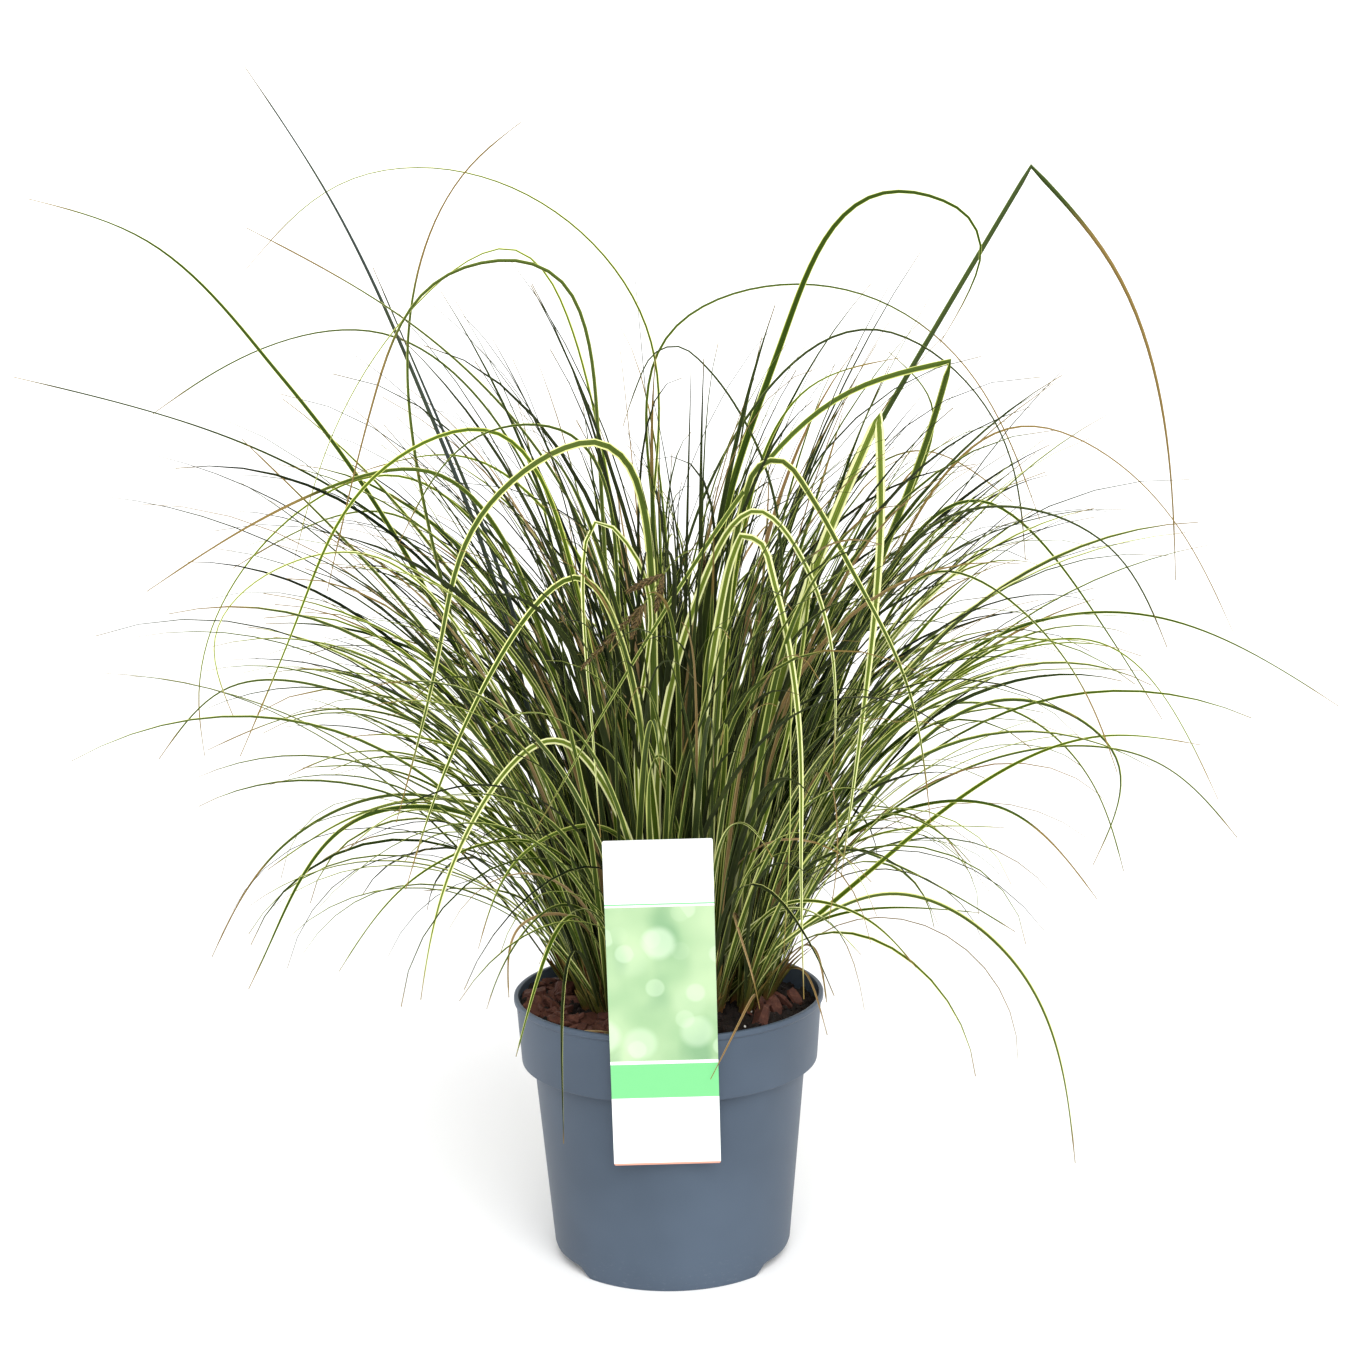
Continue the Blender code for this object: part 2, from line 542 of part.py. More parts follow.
def build_label():
    """The label: a thin card that leans on the pot's band, held by a hook over the rim."""
    touch, across, up, inward = label_frame()
    corners = []
    for depth in (0.0, -LABEL_THICKNESS):
        bottom, top = -LABEL_BELOW_RIM, LABEL_ABOVE_RIM
        for side, height in ((-1, bottom), (1, bottom), (1, top), (-1, top)):
            corners.append(touch + across * side * LABEL_WIDTH / 2 + up * height + inward * depth)
    card = loft([np.array(corners[:4]), np.array(corners[4:])])
    label = add_object("label", *card, material("label card", LABEL_COLOUR, 0.4))
    low = POT_HEIGHT + GAP * 2
    high = low + HOOK_THICKNESS
    leg_foot = POT_HEIGHT - HOOK_DROP
    leg = -(inner_radius(leg_foot) - HOOK_WALL_CLEARANCE)
    slope = up[1] / up[2]
    outline = []
    for y, z in (
        (touch[1] + (low - touch[2]) * slope - LABEL_THICKNESS / 2, low),
        (leg, low),
        (leg, leg_foot),
        (leg + HOOK_THICKNESS, leg_foot),
        (leg + HOOK_THICKNESS, high),
        (touch[1] + (high - touch[2]) * slope - LABEL_THICKNESS / 2, high),
    ):
        outline.append((y, z))
    sides = []
    for side in (-1, 1):
        x = LABEL_SHIFT + side * HOOK_WIDTH / 2
        sides.append(np.array([(x, y, z) for y, z in outline]))
    parts = new_collection("hook")
    add_object("hook", *loft(sides), collection=parts)
    apply_union(label, parts)
    return label


def crown_places():
    """Where the tufts and the flower stem stand: a sunflower spiral over the crown."""
    count = TUFT_COUNT + 1
    index = np.arange(count)
    reach = np.sqrt((index + 0.5) / count)
    turn = index * math.pi * (3 - math.sqrt(5)) + 0.4
    x = CROWN_CENTRE[0] + CROWN_HALF_WIDTH * reach * np.cos(turn)
    y = CROWN_CENTRE[1] + CROWN_HALF_DEPTH * reach * np.sin(turn)
    places = np.stack([x, y], axis=1)
    nearest = int(np.argmin(np.hypot(*(places - FLOWER_ROOT).T)))
    return np.delete(places, nearest, axis=0), places[nearest]


def tuft_lean(place):
    """How a tuft leans, as the horizontal part of its axis per unit of height."""
    offset = (place - CROWN_CENTRE) / (CROWN_HALF_WIDTH, CROWN_HALF_DEPTH)
    reach = np.hypot(*offset)
    return offset / max(reach, 1e-6) * math.tan(math.radians(CENTRE_LEAN + EDGE_LEAN * reach**1.5))


def through(points, steps):
    """Even steps along a natural cubic curve through the points."""
    points = np.asarray(points, float)
    chord = np.linalg.norm(np.diff(points, axis=0), axis=1)
    knots = np.concatenate([[0.0], np.cumsum(chord)])
    count = len(points)
    system = np.eye(count)
    right = np.zeros_like(points)
    for i in range(1, count - 1):
        before, after = chord[i - 1], chord[i]
        system[i, i - 1 : i + 2] = before, 2 * (before + after), after
        right[i] = 6 * ((points[i + 1] - points[i]) / after - (points[i] - points[i - 1]) / before)
    bend = np.linalg.solve(system, right)

    def at(value):
        i = np.clip(np.searchsorted(knots, value, side="right") - 1, 0, count - 2)
        span = chord[i][:, None]
        a = (knots[i + 1] - value)[:, None]
        b = (value - knots[i])[:, None]
        curve = (bend[i] * a**3 + bend[i + 1] * b**3) / (6 * span)
        curve += (points[i] / span - bend[i] * span / 6) * a
        return curve + (points[i + 1] / span - bend[i + 1] * span / 6) * b

    fine = at(np.linspace(0, knots[-1], 160))
    length = np.concatenate([[0.0], np.cumsum(np.linalg.norm(np.diff(fine, axis=0), axis=1))])
    wanted = np.linspace(0, length[-1], steps + 1)
    return np.stack([np.interp(wanted, length, fine[:, k]) for k in range(3)], axis=1)


def long_leaf_line(root, points, fold):
    """The line of a hand-placed leaf: smooth, or in two smooth runs that meet at a fold."""
    whole = [root, *points]
    if not fold:
        return through(whole, LINE_STEPS)
    runs = (whole[: fold + 1], whole[fold:])
    lengths = [np.linalg.norm(np.diff(np.array(run), axis=0), axis=1).sum() for run in runs]
    first = int(np.clip(round(LINE_STEPS * lengths[0] / sum(lengths)), 6, LINE_STEPS - 6))
    lower = through(runs[0], first)
    upper = through(runs[1], LINE_STEPS - first)
    return np.concatenate([lower, upper[1:]])


def arching_line(root, lean, azimuth, length, bend, power, drift):
    """The line of a leaf that starts at an angle from upright and arches over more and more."""
    share = (np.arange(LINE_STEPS) + 0.5) / LINE_STEPS
    tilt = lean + bend * share**power
    heading = azimuth + drift * share**1.5
    step = np.stack([np.sin(tilt) * np.cos(heading), np.sin(tilt) * np.sin(heading), np.cos(tilt)], axis=1)
    return root + np.concatenate([[[0.0, 0.0, 0.0]], np.cumsum(step, axis=0)]) * length / LINE_STEPS


def leaf_widths(width):
    """Half width at each point of a leaf's line: narrow at the sheath, full, then a long taper."""
    share = np.linspace(0, 1, LINE_STEPS + 1)
    widening = SHEATH_WIDTH_SHARE + (1 - SHEATH_WIDTH_SHARE) * smooth_step(share / FULL_WIDTH_AT)
    return width / 2 * widening * (1 - share**2.6) ** 0.85


def stations(line):
    """Which points of a leaf's line the solid uses: more of them where the leaf bends."""
    step = np.diff(line, axis=0)
    direction = step / np.linalg.norm(step, axis=1, keepdims=True)
    cosine = np.clip((direction[1:] * direction[:-1]).sum(axis=1), -1, 1)
    turning = np.concatenate([[0.0], np.arccos(cosine)])
    sharp = np.flatnonzero(turning > FOLD_TURN)
    eased = np.where(turning > FOLD_TURN, 0.0, turning)
    count = int(np.clip(round(2.2 + eased.sum() / TURN_PER_SPAN), 3, 7))
    gauge = np.concatenate([[0.0], np.cumsum(1.0 / LINE_STEPS + eased * 0.45)])
    wanted = np.linspace(0.0, gauge[-1], count + 1)
    chosen = np.clip(np.searchsorted(gauge, wanted - 1e-9), 0, LINE_STEPS)
    for fold in sharp:
        chosen[np.argmin(np.abs(chosen[1:-1] - fold)) + 1] = fold
    chosen = np.unique(np.concatenate([[0], chosen, [LINE_STEPS]]))
    halves = [chosen]
    for i, j in zip(chosen[:-1], chosen[1:]):
        if direction[i] @ direction[j - 1] < LEAST_COSINE:
            halves.append([(i + j) // 2])
    return np.unique(np.concatenate(halves)).astype(int)


def segment_distances(a, b, c, d):
    """Shortest distances between every segment a-b and every segment c-d."""
    u = (b - a)[:, None]
    v = (d - c)[None]
    w = a[:, None] - c[None]
    uu = (u * u).sum(-1)
    vv = (v * v).sum(-1)
    uv = (u * v).sum(-1)
    uw = (u * w).sum(-1)
    vw = (v * w).sum(-1)
    spread = np.maximum(uu * vv - uv * uv, 1e-15)
    s = np.clip((uv * vw - uw * vv) / spread, 0, 1)
    t = np.clip((uv * s + vw) / vv, 0, 1)
    s = np.clip((uv * t - uw) / uu, 0, 1)
    apart = w + u * s[..., None] - v * t[..., None]
    return np.sqrt((apart * apart).sum(-1))


class Thicket:
    """The leaves placed so far, as straight spans with a radius and the tuft they belong to."""

    def __init__(self):
        self.starts = np.zeros((0, 3))
        self.ends = np.zeros((0, 3))
        self.radii = np.zeros(0)
        self.owners = np.zeros(0, int)

    def add(self, line, radii, owner):
        """Records a chain of spans."""
        self.starts = np.concatenate([self.starts, line[:-1]])
        self.ends = np.concatenate([self.ends, line[1:]])
        self.radii = np.concatenate([self.radii, np.maximum(radii[:-1], radii[1:])])
        self.owners = np.concatenate([self.owners, np.full(len(line) - 1, owner)])

    def is_clear(self, line, radii, owner):
        """Whether a chain of spans passes the others with room to spare.

        Leaves of one tuft may touch low down, where they leave their shared crown.
        """
        low = line.min(axis=0) - NEAREST_MARGIN
        high = line.max(axis=0) + NEAREST_MARGIN
        upper = np.maximum(self.starts, self.ends)
        lower = np.minimum(self.starts, self.ends)
        shared = (self.owners == owner) & (lower[:, 2] < SOIL_TOP + SHARED_BASE)
        near = ~shared & (upper > low).all(axis=1) & (lower < high).all(axis=1)
        if not near.any():
            return True
        apart = segment_distances(line[:-1], line[1:], self.starts[near], self.ends[near])
        needed = np.maximum(radii[:-1], radii[1:])[:, None] + self.radii[near][None] + LEAF_CLEARANCE
        return bool((apart > needed).all())


def misses_pot(line):
    """Whether a leaf stays off the surface below, the soil, the rim and the label."""
    share = np.linspace(0, 1, 9)[:, None, None]
    points = (line[:-1] * (1 - share) + line[1:] * share).reshape(-1, 3)
    radius = np.hypot(points[:, 0], points[:, 1])
    root_distance = np.linalg.norm(points - line[0], axis=1)
    free = points[root_distance > NEAR_ROOT]
    radius = radius[root_distance > NEAR_ROOT]
    over_soil = (radius < LIP_RADIUS + RIM_ROOM) & (free[:, 2] < SOIL_TOP + SOIL_ROOM)
    over_rim = (np.abs(radius - LIP_RADIUS) < RIM_ROOM + CARD_ROOM) & (free[:, 2] < POT_HEIGHT + CARD_ROOM)
    touch, across, up, inward = label_frame()
    offset = free - touch
    beside = np.abs(offset @ across) < LABEL_WIDTH / 2 + CARD_ROOM
    level = offset @ up
    at_card = beside & (level > -LABEL_BELOW_RIM - CARD_ROOM) & (level < LABEL_ABOVE_RIM + CARD_ROOM)
    on_card = at_card & (np.abs(offset @ inward) < RIM_ROOM)
    too_low = free[:, 2] < LOWEST_LEAF
    return not (over_soil.any() or over_rim.any() or on_card.any() or too_low.any())


def grow_leaves(places, flower_place):
    """Every leaf of the clump: its line, half widths, tuft, way, twist and whether it is dry."""
    thicket = Thicket()
    stem = flower_line(flower_place)
    room = np.where(np.arange(len(stem)) < FIRST_SPIKELET * STEM_STEPS, STEM_ROOM, SPIKELET_ROOM)
    thicket.add(stem, room, -1)
    for tuft, place in enumerate(places):
        thicket.add(tuft_axis(place), np.full(3, TUFT_TOP_RADIUS), tuft)
    leaves = []
    free = [list(range(LEAVES_PER_TUFT)) for _ in places]
    for number, (width, fold, points) in enumerate(LONG_LEAVES):
        points = np.array(points) / 100
        dry = number >= len(LONG_LEAVES) - DRY_LONG_LEAVES
        tuft = choose_tuft(places, points[0], free)
        heading = points[0, :2] - places[tuft]
        slot = max(free[tuft], key=lambda each: float(slot_way(tuft, each) @ heading))
        leaf = place_long_leaf(thicket, places[tuft], tuft, slot, width / 1000, fold, points, dry, number)
        if leaf:
            free[tuft].remove(slot)
            leaves.append(leaf)
    for tuft, place in enumerate(places):
        for slot in free[tuft]:
            leaf = place_arching_leaf(thicket, place, tuft, slot)
            if leaf:
                leaves.append(leaf)
    return leaves


def slot_way(tuft, slot):
    """The horizontal direction of one of the places round a tuft that a leaf leaves from."""
    turn = 2 * math.pi * slot / LEAVES_PER_TUFT + tuft
    return np.array([math.cos(turn), math.sin(turn)])


def leaf_root(place, tuft, slot):
    """Where a leaf's line starts, inside the tuft's crown."""
    return np.array([*(place + slot_way(tuft, slot) * ROOT_CIRCLE), SOIL_TOP + ROOT_RISE])


def choose_tuft(places, aim, free):
    """The tuft on the side of the crown that a long leaf heads for, and not yet crowded."""
    offset = (aim[:2] - CROWN_CENTRE) / (CROWN_HALF_WIDTH, CROWN_HALF_DEPTH)
    reach = np.hypot(*offset)
    offset = offset * min(1.0, 0.8 / max(reach, 1e-6))
    target = np.array(CROWN_CENTRE) + offset * (CROWN_HALF_WIDTH, CROWN_HALF_DEPTH)
    burden = np.array([LEAVES_PER_TUFT - len(slots) for slots in free])
    cost = np.hypot(*(places - target).T) + CROWDING_COST * burden**2
    return int(np.argmin(cost))


def tuft_axis(place, rise=TUFT_RISE):
    """Points up the middle of a tuft's crown, from the bottom of its hole."""
    heights = np.array([-HOLE_DEPTH, ROOT_RISE, rise])
    shift = np.outer(np.maximum(heights - ROOT_RISE, 0.0), tuft_lean(place))
    return np.column_stack([place + shift, SOIL_TOP + heights])


def place_long_leaf(thicket, place, tuft, slot, width, fold, points, dry, number):
    """Tries a hand-placed leaf, then the same leaf nudged a little further each time."""
    chance = np.random.default_rng([SEED, number])
    radii = leaf_widths(width)
    root = leaf_root(place, tuft, slot)
    for attempt in range(LONG_TRIES):
        reach = min(NUDGE_STEP * attempt, MOST_NUDGE)
        nudge = chance.uniform(-1, 1, (len(points), 3)) * (0.4, 1.0, 0.4) * reach
        line = long_leaf_line(root, points + nudge, fold)
        if fits(thicket, line, radii, tuft):
            return remember(thicket, line, radii, tuft, slot, chance, dry)
    return None


def place_arching_leaf(thicket, place, tuft, slot):
    """Tries random arching leaves from one slot of a tuft until one is clear of the rest."""
    chance = np.random.default_rng([SEED, tuft, slot])
    lean = tuft_lean(place)
    offset = (place - CROWN_CENTRE) / (CROWN_HALF_WIDTH, CROWN_HALF_DEPTH)
    edge = min(float(np.hypot(*offset)), 1.0)
    root = leaf_root(place, tuft, slot)
    for _ in range(ARCH_TRIES):
        spread = math.tan(math.radians(chance.uniform(*ARCH_SPREAD)))
        way = lean + slot_way(tuft, slot) * spread + chance.normal(0, 0.03, 2)
        start = math.atan(float(np.hypot(*way)))
        azimuth = math.atan2(way[1], way[0]) + chance.normal(0, 0.35)
        length = chance.uniform(*ARCH_LENGTH) * (1.0 - EDGE_SHORTER * edge)
        bend = math.radians(chance.uniform(*ARCH_BEND) + EDGE_BEND * edge)
        drift = chance.normal(0, 0.3)
        width = chance.uniform(*ARCH_WIDTH)
        power = chance.uniform(*ARCH_POWER)
        radii = leaf_widths(width)
        line = arching_line(root, start, azimuth, length, bend, power, drift)
        if fits(thicket, line, radii, tuft):
            return remember(thicket, line, radii, tuft, slot, chance, chance.random() < DRY_SHARE)
    return None


def fits(thicket, line, radii, tuft):
    """Whether a leaf's solid is clear of the pot, the label and the other tufts."""
    chosen = stations(line)
    return misses_pot(line[chosen]) and thicket.is_clear(line[chosen], radii[chosen], tuft)


def remember(thicket, line, radii, tuft, slot, chance, dry):
    """Records a leaf and gives it a twist."""
    chosen = stations(line)
    thicket.add(line[chosen], radii[chosen], tuft)
    twist = math.radians(chance.uniform(-MOST_TWIST, MOST_TWIST))
    way = slot_way(tuft, slot)
    return {"line": line, "half": radii, "tuft": tuft, "way": way, "twist": twist, "dry": dry}


def squared(vectors, along):
    """Unit vectors at right angles to a leaf's run, nearest to the given ones."""
    flat = vectors - along * (vectors * along).sum(axis=-1, keepdims=True)
    return flat / np.linalg.norm(flat, axis=-1, keepdims=True)


def leaf_frames(lines, ways, twists):
    """Directions across and out of the upper face, at every point of every leaf.

    At its root a leaf wraps a little round its tuft. Its upper face looks out of the bend that
    it mostly follows, is carried along without spinning, and is turned by the leaf's twist.
    """
    along = np.gradient(lines, axis=1)
    along /= np.linalg.norm(along, axis=2, keepdims=True)
    out = lines[:, -1] - lines[:, 0]
    hinge = np.cross([0.0, 0.0, 1.0], out / np.linalg.norm(out, axis=1, keepdims=True))
    hinge = hinge * STRAIGHT_SHARE + np.cross(along[:, :-1], along[:, 1:]).sum(axis=1)
    face = np.zeros_like(lines)
    face[:, 0] = squared(np.cross(along[:, 0], hinge), along[:, 0])
    for i in range(1, lines.shape[1]):
        before, after = along[:, i - 1], along[:, i]
        cosine = (before * after).sum(axis=1, keepdims=True)
        tipped = (face[:, i - 1] * after).sum(axis=1, keepdims=True) / (1 + cosine)
        face[:, i] = squared(face[:, i - 1] - tipped * (before + after), after)
    wrapped = np.column_stack([ways, np.zeros(len(ways))])
    wrapped *= np.where((wrapped * face[:, 0]).sum(axis=1) < 0, -1.0, 1.0)[:, None]
    share = np.linspace(0, 1, lines.shape[1])[None, :, None]
    blend = smooth_step(share / WRAP_SHARE)
    face = squared(wrapped[:, None] * WRAP_AMOUNT * (1 - blend) + face, along)
    across = np.cross(along, face)
    turn = twists[:, None, None] * smooth_step(share)
    return across * np.cos(turn) + face * np.sin(turn), face * np.cos(turn) - across * np.sin(turn)


def bulging(points, a, b, c, d):
    """Two triangles over a twisted four-sided patch, along the diagonal that stands outward."""
    outward = np.cross(points[b] - points[a], points[c] - points[a])
    if outward @ (points[d] - points[a]) <= 0:
        return [(a, b, c), (a, c, d)]
    return [(a, b, d), (b, c, d)]


def leaf_solid(line, half, across, face):
    """Points and triangles of a keeled leaf: a flat upper face, a keel below and a point."""
    chosen = stations(line)
    body = chosen[:-1]
    width = np.maximum(half[body], LEAST_HALF_WIDTH)[:, None]
    left = line[body] - across[body] * width
    right = line[body] + across[body] * width
    keel = line[body] - face[body] * LEAF_KEEL
    points = np.concatenate([np.stack([left, right, keel], axis=1).reshape(-1, 3), line[-1:]])
    faces = [(0, 2, 1)]
    for row in range(len(body) - 1):
        base = row * 3
        for i in range(3):
            j = (i + 1) % 3
            faces += bulging(points, base + i, base + j, base + 3 + j, base + 3 + i)
    last = (len(body) - 1) * 3
    tip = len(points) - 1
    for i in range(3):
        faces.append((last + i, last + (i + 1) % 3, tip))
    return points, faces


def crown_rings(place, radii, rise=TUFT_RISE):
    """Rings of a tuft's crown: straight in its hole, then leaning a little above the soil."""
    axis = tuft_axis(place, rise)
    return [ring(radius, point[2], TUFT_SIDES, 0.0, point[:2]) for radius, point in zip(radii, axis)]


def build_tufts(places, flower_place):
    """One solid for each tuft: its crown with its leaves joined to it."""
    leaves = grow_leaves(places, flower_place)
    lines = np.array([leaf["line"] for leaf in leaves])
    ways = np.array([leaf["way"] for leaf in leaves])
    twists = np.array([leaf["twist"] for leaf in leaves])
    across, face = leaf_frames(lines, ways, twists)
    finish = material("sedge leaf", LEAF_COLOUR, 0.5)
    for tuft, place in enumerate(places):
        solids = []
        for i, leaf in enumerate(leaves):
            if leaf["tuft"] == tuft:
                solids.append(leaf_solid(lines[i], leaf["half"], across[i], face[i]))
        build_tuft(f"sedge_tuft_{tuft + 1:02d}", place, solids, finish)


def build_tuft(name, place, solids, finish):
    """Joins a tuft's crown and leaves.

    Where that doesn't close, the crown is made a bit taller, and then one leaf is left out.
    """
    for attempt in range(TUFT_RETRIES):
        omitted = attempt - 2
        rise = TUFT_RISE + attempt * RETRY_RISE
        rings = crown_rings(place, (TUFT_RADIUS, TUFT_RADIUS, TUFT_TOP_RADIUS), rise)
        body = add_object(name, *loft(rings), finish)
        parts = new_collection("leaves of a tuft")
        for number, solid in enumerate(solids):
            if number != omitted:
                add_object("leaf", *solid, finish, parts)
        if apply_union(body, parts):
            return
        if attempt < TUFT_RETRIES - 1:
            bpy.data.objects.remove(body)
        else:
            print(name, "is not closed")


def flower_line(place):
    """The line of the flower stem, from the soil to its drooping end."""
    return through([(*place, SOIL_TOP), *(np.array(FLOWER_LINE) / 100)], STEM_STEPS)


def spindle(base, tip, radius, sides=5):
    """Points and faces of a pointed spikelet."""
    axis = tip - base
    axis = axis / np.linalg.norm(axis)
    side = np.cross(axis, [0.0, 0.0, 1.0])
    side /= np.linalg.norm(side)
    other = np.cross(axis, side)
    turn = np.arange(sides) * 2 * math.pi / sides
    rings = []
    for share, size in SPIKELET_SHAPE:
        spoke = side * np.cos(turn)[:, None] + other * np.sin(turn)[:, None]
        rings.append(base + (tip - base) * share + spoke * radius * size)
    return loft(rings)


def build_flower_stem(place):
    """A slender stem with brown spikelets along its drooping end."""
    line = flower_line(place)
    finish = material("flower stem", FLOWER_COLOUR, 0.6)
    crown = crown_rings(place, (TUFT_RADIUS, TUFT_RADIUS, STEM_CROWN_RADIUS))
    stem = add_object("flower_stem", *loft(crown), finish)
    parts = new_collection("flower parts")
    rings = []
    for i in range(STEM_STEPS + 1):
        way = line[min(i + 1, STEM_STEPS)] - line[max(i - 1, 0)]
        way /= np.linalg.norm(way)
        side = np.cross(way, [0.0, 1.0, 0.0])
        side /= np.linalg.norm(side)
        other = np.cross(way, side)
        turn = np.arange(3) * 2 * math.pi / 3
        size = STEM_RADIUS * (1.15 - 0.45 * i / STEM_STEPS)
        rings.append(line[i] + (side * np.cos(turn)[:, None] + other * np.sin(turn)[:, None]) * size)
    add_object("stem", *loft(rings), collection=parts)
    for share, length, lean in SPIKELETS:
        step = round(share * STEM_STEPS)
        way = line[step + 1] - line[step]
        way = way / np.linalg.norm(way) + lean
        tip = line[step] + way / np.linalg.norm(way) * length
        add_object("spikelet", *spindle(line[step], tip, SPIKELET_RADIUS), collection=parts)
    base = line[round(END_SPIKELET_START * STEM_STEPS)]
    tip = line[-1] + (line[-1] - base) * END_SPIKELET_REACH
    add_object("spikelet", *spindle(base, tip, END_SPIKELET_RADIUS), collection=parts)
    if not apply_union(stem, parts):
        print("flower_stem is not closed")


def main():
    """Clears the scene and builds the pot, soil, label and plant."""
    for old in list(bpy.data.objects):
        bpy.data.objects.remove(old)
    places, flower_place = crown_places()
    build_pot()
    build_soil([*places, flower_place])
    build_label()
    build_flower_stem(flower_place)
    build_tufts(places, flower_place)


main()
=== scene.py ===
"""A variegated sedge in its nursery pot: the looks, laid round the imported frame.

Metres, +Z up, in the same frame as the solids. Every leaf follows the same line as its solid,
which the seeded rules below work out again, and gets its true section: two halves folded
along the middle, thin pale margins and a keel beneath.
"""

import functools
import math

import bpy
import numpy as np
from mathutils import Matrix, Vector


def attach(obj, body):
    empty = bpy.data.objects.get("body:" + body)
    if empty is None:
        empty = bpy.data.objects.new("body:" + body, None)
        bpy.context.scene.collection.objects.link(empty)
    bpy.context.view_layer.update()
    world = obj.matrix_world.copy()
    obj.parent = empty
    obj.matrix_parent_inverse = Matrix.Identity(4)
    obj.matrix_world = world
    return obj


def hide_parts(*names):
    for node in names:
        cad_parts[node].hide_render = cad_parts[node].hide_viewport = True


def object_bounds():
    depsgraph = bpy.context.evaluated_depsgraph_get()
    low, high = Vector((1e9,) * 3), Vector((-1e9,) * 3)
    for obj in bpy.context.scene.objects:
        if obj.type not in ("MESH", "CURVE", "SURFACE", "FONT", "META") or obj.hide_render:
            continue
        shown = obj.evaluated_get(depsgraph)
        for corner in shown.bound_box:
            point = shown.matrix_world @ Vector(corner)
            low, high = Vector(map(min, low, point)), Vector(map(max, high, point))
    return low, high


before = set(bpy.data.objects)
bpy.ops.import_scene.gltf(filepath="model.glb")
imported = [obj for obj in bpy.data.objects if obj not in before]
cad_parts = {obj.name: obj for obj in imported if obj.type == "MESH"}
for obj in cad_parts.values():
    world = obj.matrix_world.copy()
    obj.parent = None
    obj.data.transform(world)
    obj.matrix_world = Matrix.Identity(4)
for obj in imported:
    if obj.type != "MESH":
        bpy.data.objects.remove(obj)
CAD_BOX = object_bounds()

bl_info = {
    "name": "Potted variegated sedge",
    "version": (1, 0, 0),
    "blender": (4, 5, 0),
    "location": "View3D > Sidebar > Sedge",
    "description": "Builds the finished pieces of a variegated sedge in its nursery pot",
    "category": "Add Mesh",
}

GAP = 0.0003
SEED = 41

# Second part of the seed of each group's random draws
LEAF_DRAWS = 900
FINE_LEAF_DRAWS = 901
SHEATH_DRAWS = 902
LOOSE_BLADE_DRAWS = 903
SPIKELET_DRAWS = 904
GROUND_DRAWS = 905
CRUMB_DRAWS = 906
BARK_DRAWS = 907
PERLITE_DRAWS = 908

# Names of the maps that the patterns on leaves and label read
LEAF_MAP = "OFBake"
PRINT_MAP = "print"

# Samples that a smooth curve is measured by
CURVE_SAMPLES = 160

# Pot: a 19 cm nursery pot with a deep rim band and a scalloped foot
POT_HEIGHT = 0.165
LIP_RADIUS = 0.095
LIP_DEPTH = 0.0032
LIP_UNDERCUT = 0.0042
BAND_TOP_RADIUS = 0.0936
BAND_FOOT_RADIUS = 0.0909
BAND_FOOT_HEIGHT = 0.1235
BAND_CHAMFER_RISE = 0.0005
BODY_TOP_RADIUS = 0.0836
BODY_FOOT_RADIUS = 0.0725
BODY_FOOT_RISE = 0.010
WALL = 0.0013
FLOOR_UNDERSIDE = 0.0066
FLOOR_THICKNESS = 0.0016
FOOT_WIDTH = 0.0026
RIB_WIDTH = 0.0024
NOTCH_HEIGHT = 0.0060
NOTCH_HALF_ANGLE = math.radians(38)
NOTCH_BLEND = math.radians(9)
DRAIN_HOLES = 5
DRAIN_RADIUS = 0.0050
DRAIN_CIRCLE = 0.046

# Soil, with bark chips pressed into it
SOIL_TOP = 0.1565
SOIL_FALL = 0.0045
SOIL_RINGS = (0.0700, 0.0790, 0.0865)
MOUND_ANGLE = math.radians(175)
MOUND_RISE = 0.0085
MOUND_SPREAD = 0.75
RIPPLES = (0.0012, 0.0009)
RIPPLE_COUNTS = (7, 13)
RIPPLE_START = 0.6
RIPPLE_WINDING = 260

# Crown: the patch of soil that the tufts grow from
CROWN_CENTRE = (0.003, 0.016)
CROWN_HALF_WIDTH = 0.064
CROWN_HALF_DEPTH = 0.052
CROWN_START_TURN = 0.4
TUFT_COUNT = 46
FLOWER_ROOT = (0.0, -0.018)
CENTRE_LEAN = 3.0
EDGE_LEAN = 20.0
TUFT_TOP_RADIUS = 0.0058
TUFT_RISE = 0.0057
HOLE_DEPTH = 0.014

# Leaves
LEAVES_PER_TUFT = 8
LINE_STEPS = 32
WRAP_SHARE = 0.25
WRAP_AMOUNT = 0.8
STRAIGHT_SHARE = 0.2
SHEATH_WIDTH_SHARE = 0.58
FULL_WIDTH_AT = 0.2
TIP_TAPER = (2.6, 0.85)
LEAF_CLEARANCE = 0.0004
ROOT_CIRCLE = 0.0034
ROOT_RISE = 0.0015
SHARED_BASE = 0.030
TURN_PER_SPAN = math.radians(41)
SPANS_WHEN_STRAIGHT = 2.2
FEWEST_SPANS = 3
MOST_SPANS = 7
BEND_PULL = 0.45
CHECKS_PER_SPAN = 9
FOLD_TURN = math.radians(24)
LEAST_COSINE = 0.3
LOWEST_LEAF = 0.020
NEAR_ROOT = 0.012
SOIL_ROOM = 0.010
RIM_ROOM = 0.004
CARD_ROOM = 0.003
NEAREST_MARGIN = 0.006
CROWDING_COST = 0.006
OUTERMOST_TUFT = 0.8
LONG_TRIES = 120
ARCH_TRIES = 100
NUDGE_STEP = 0.0006
MOST_NUDGE = 0.022
NUDGE_SHARES = (0.4, 1.0, 0.4)

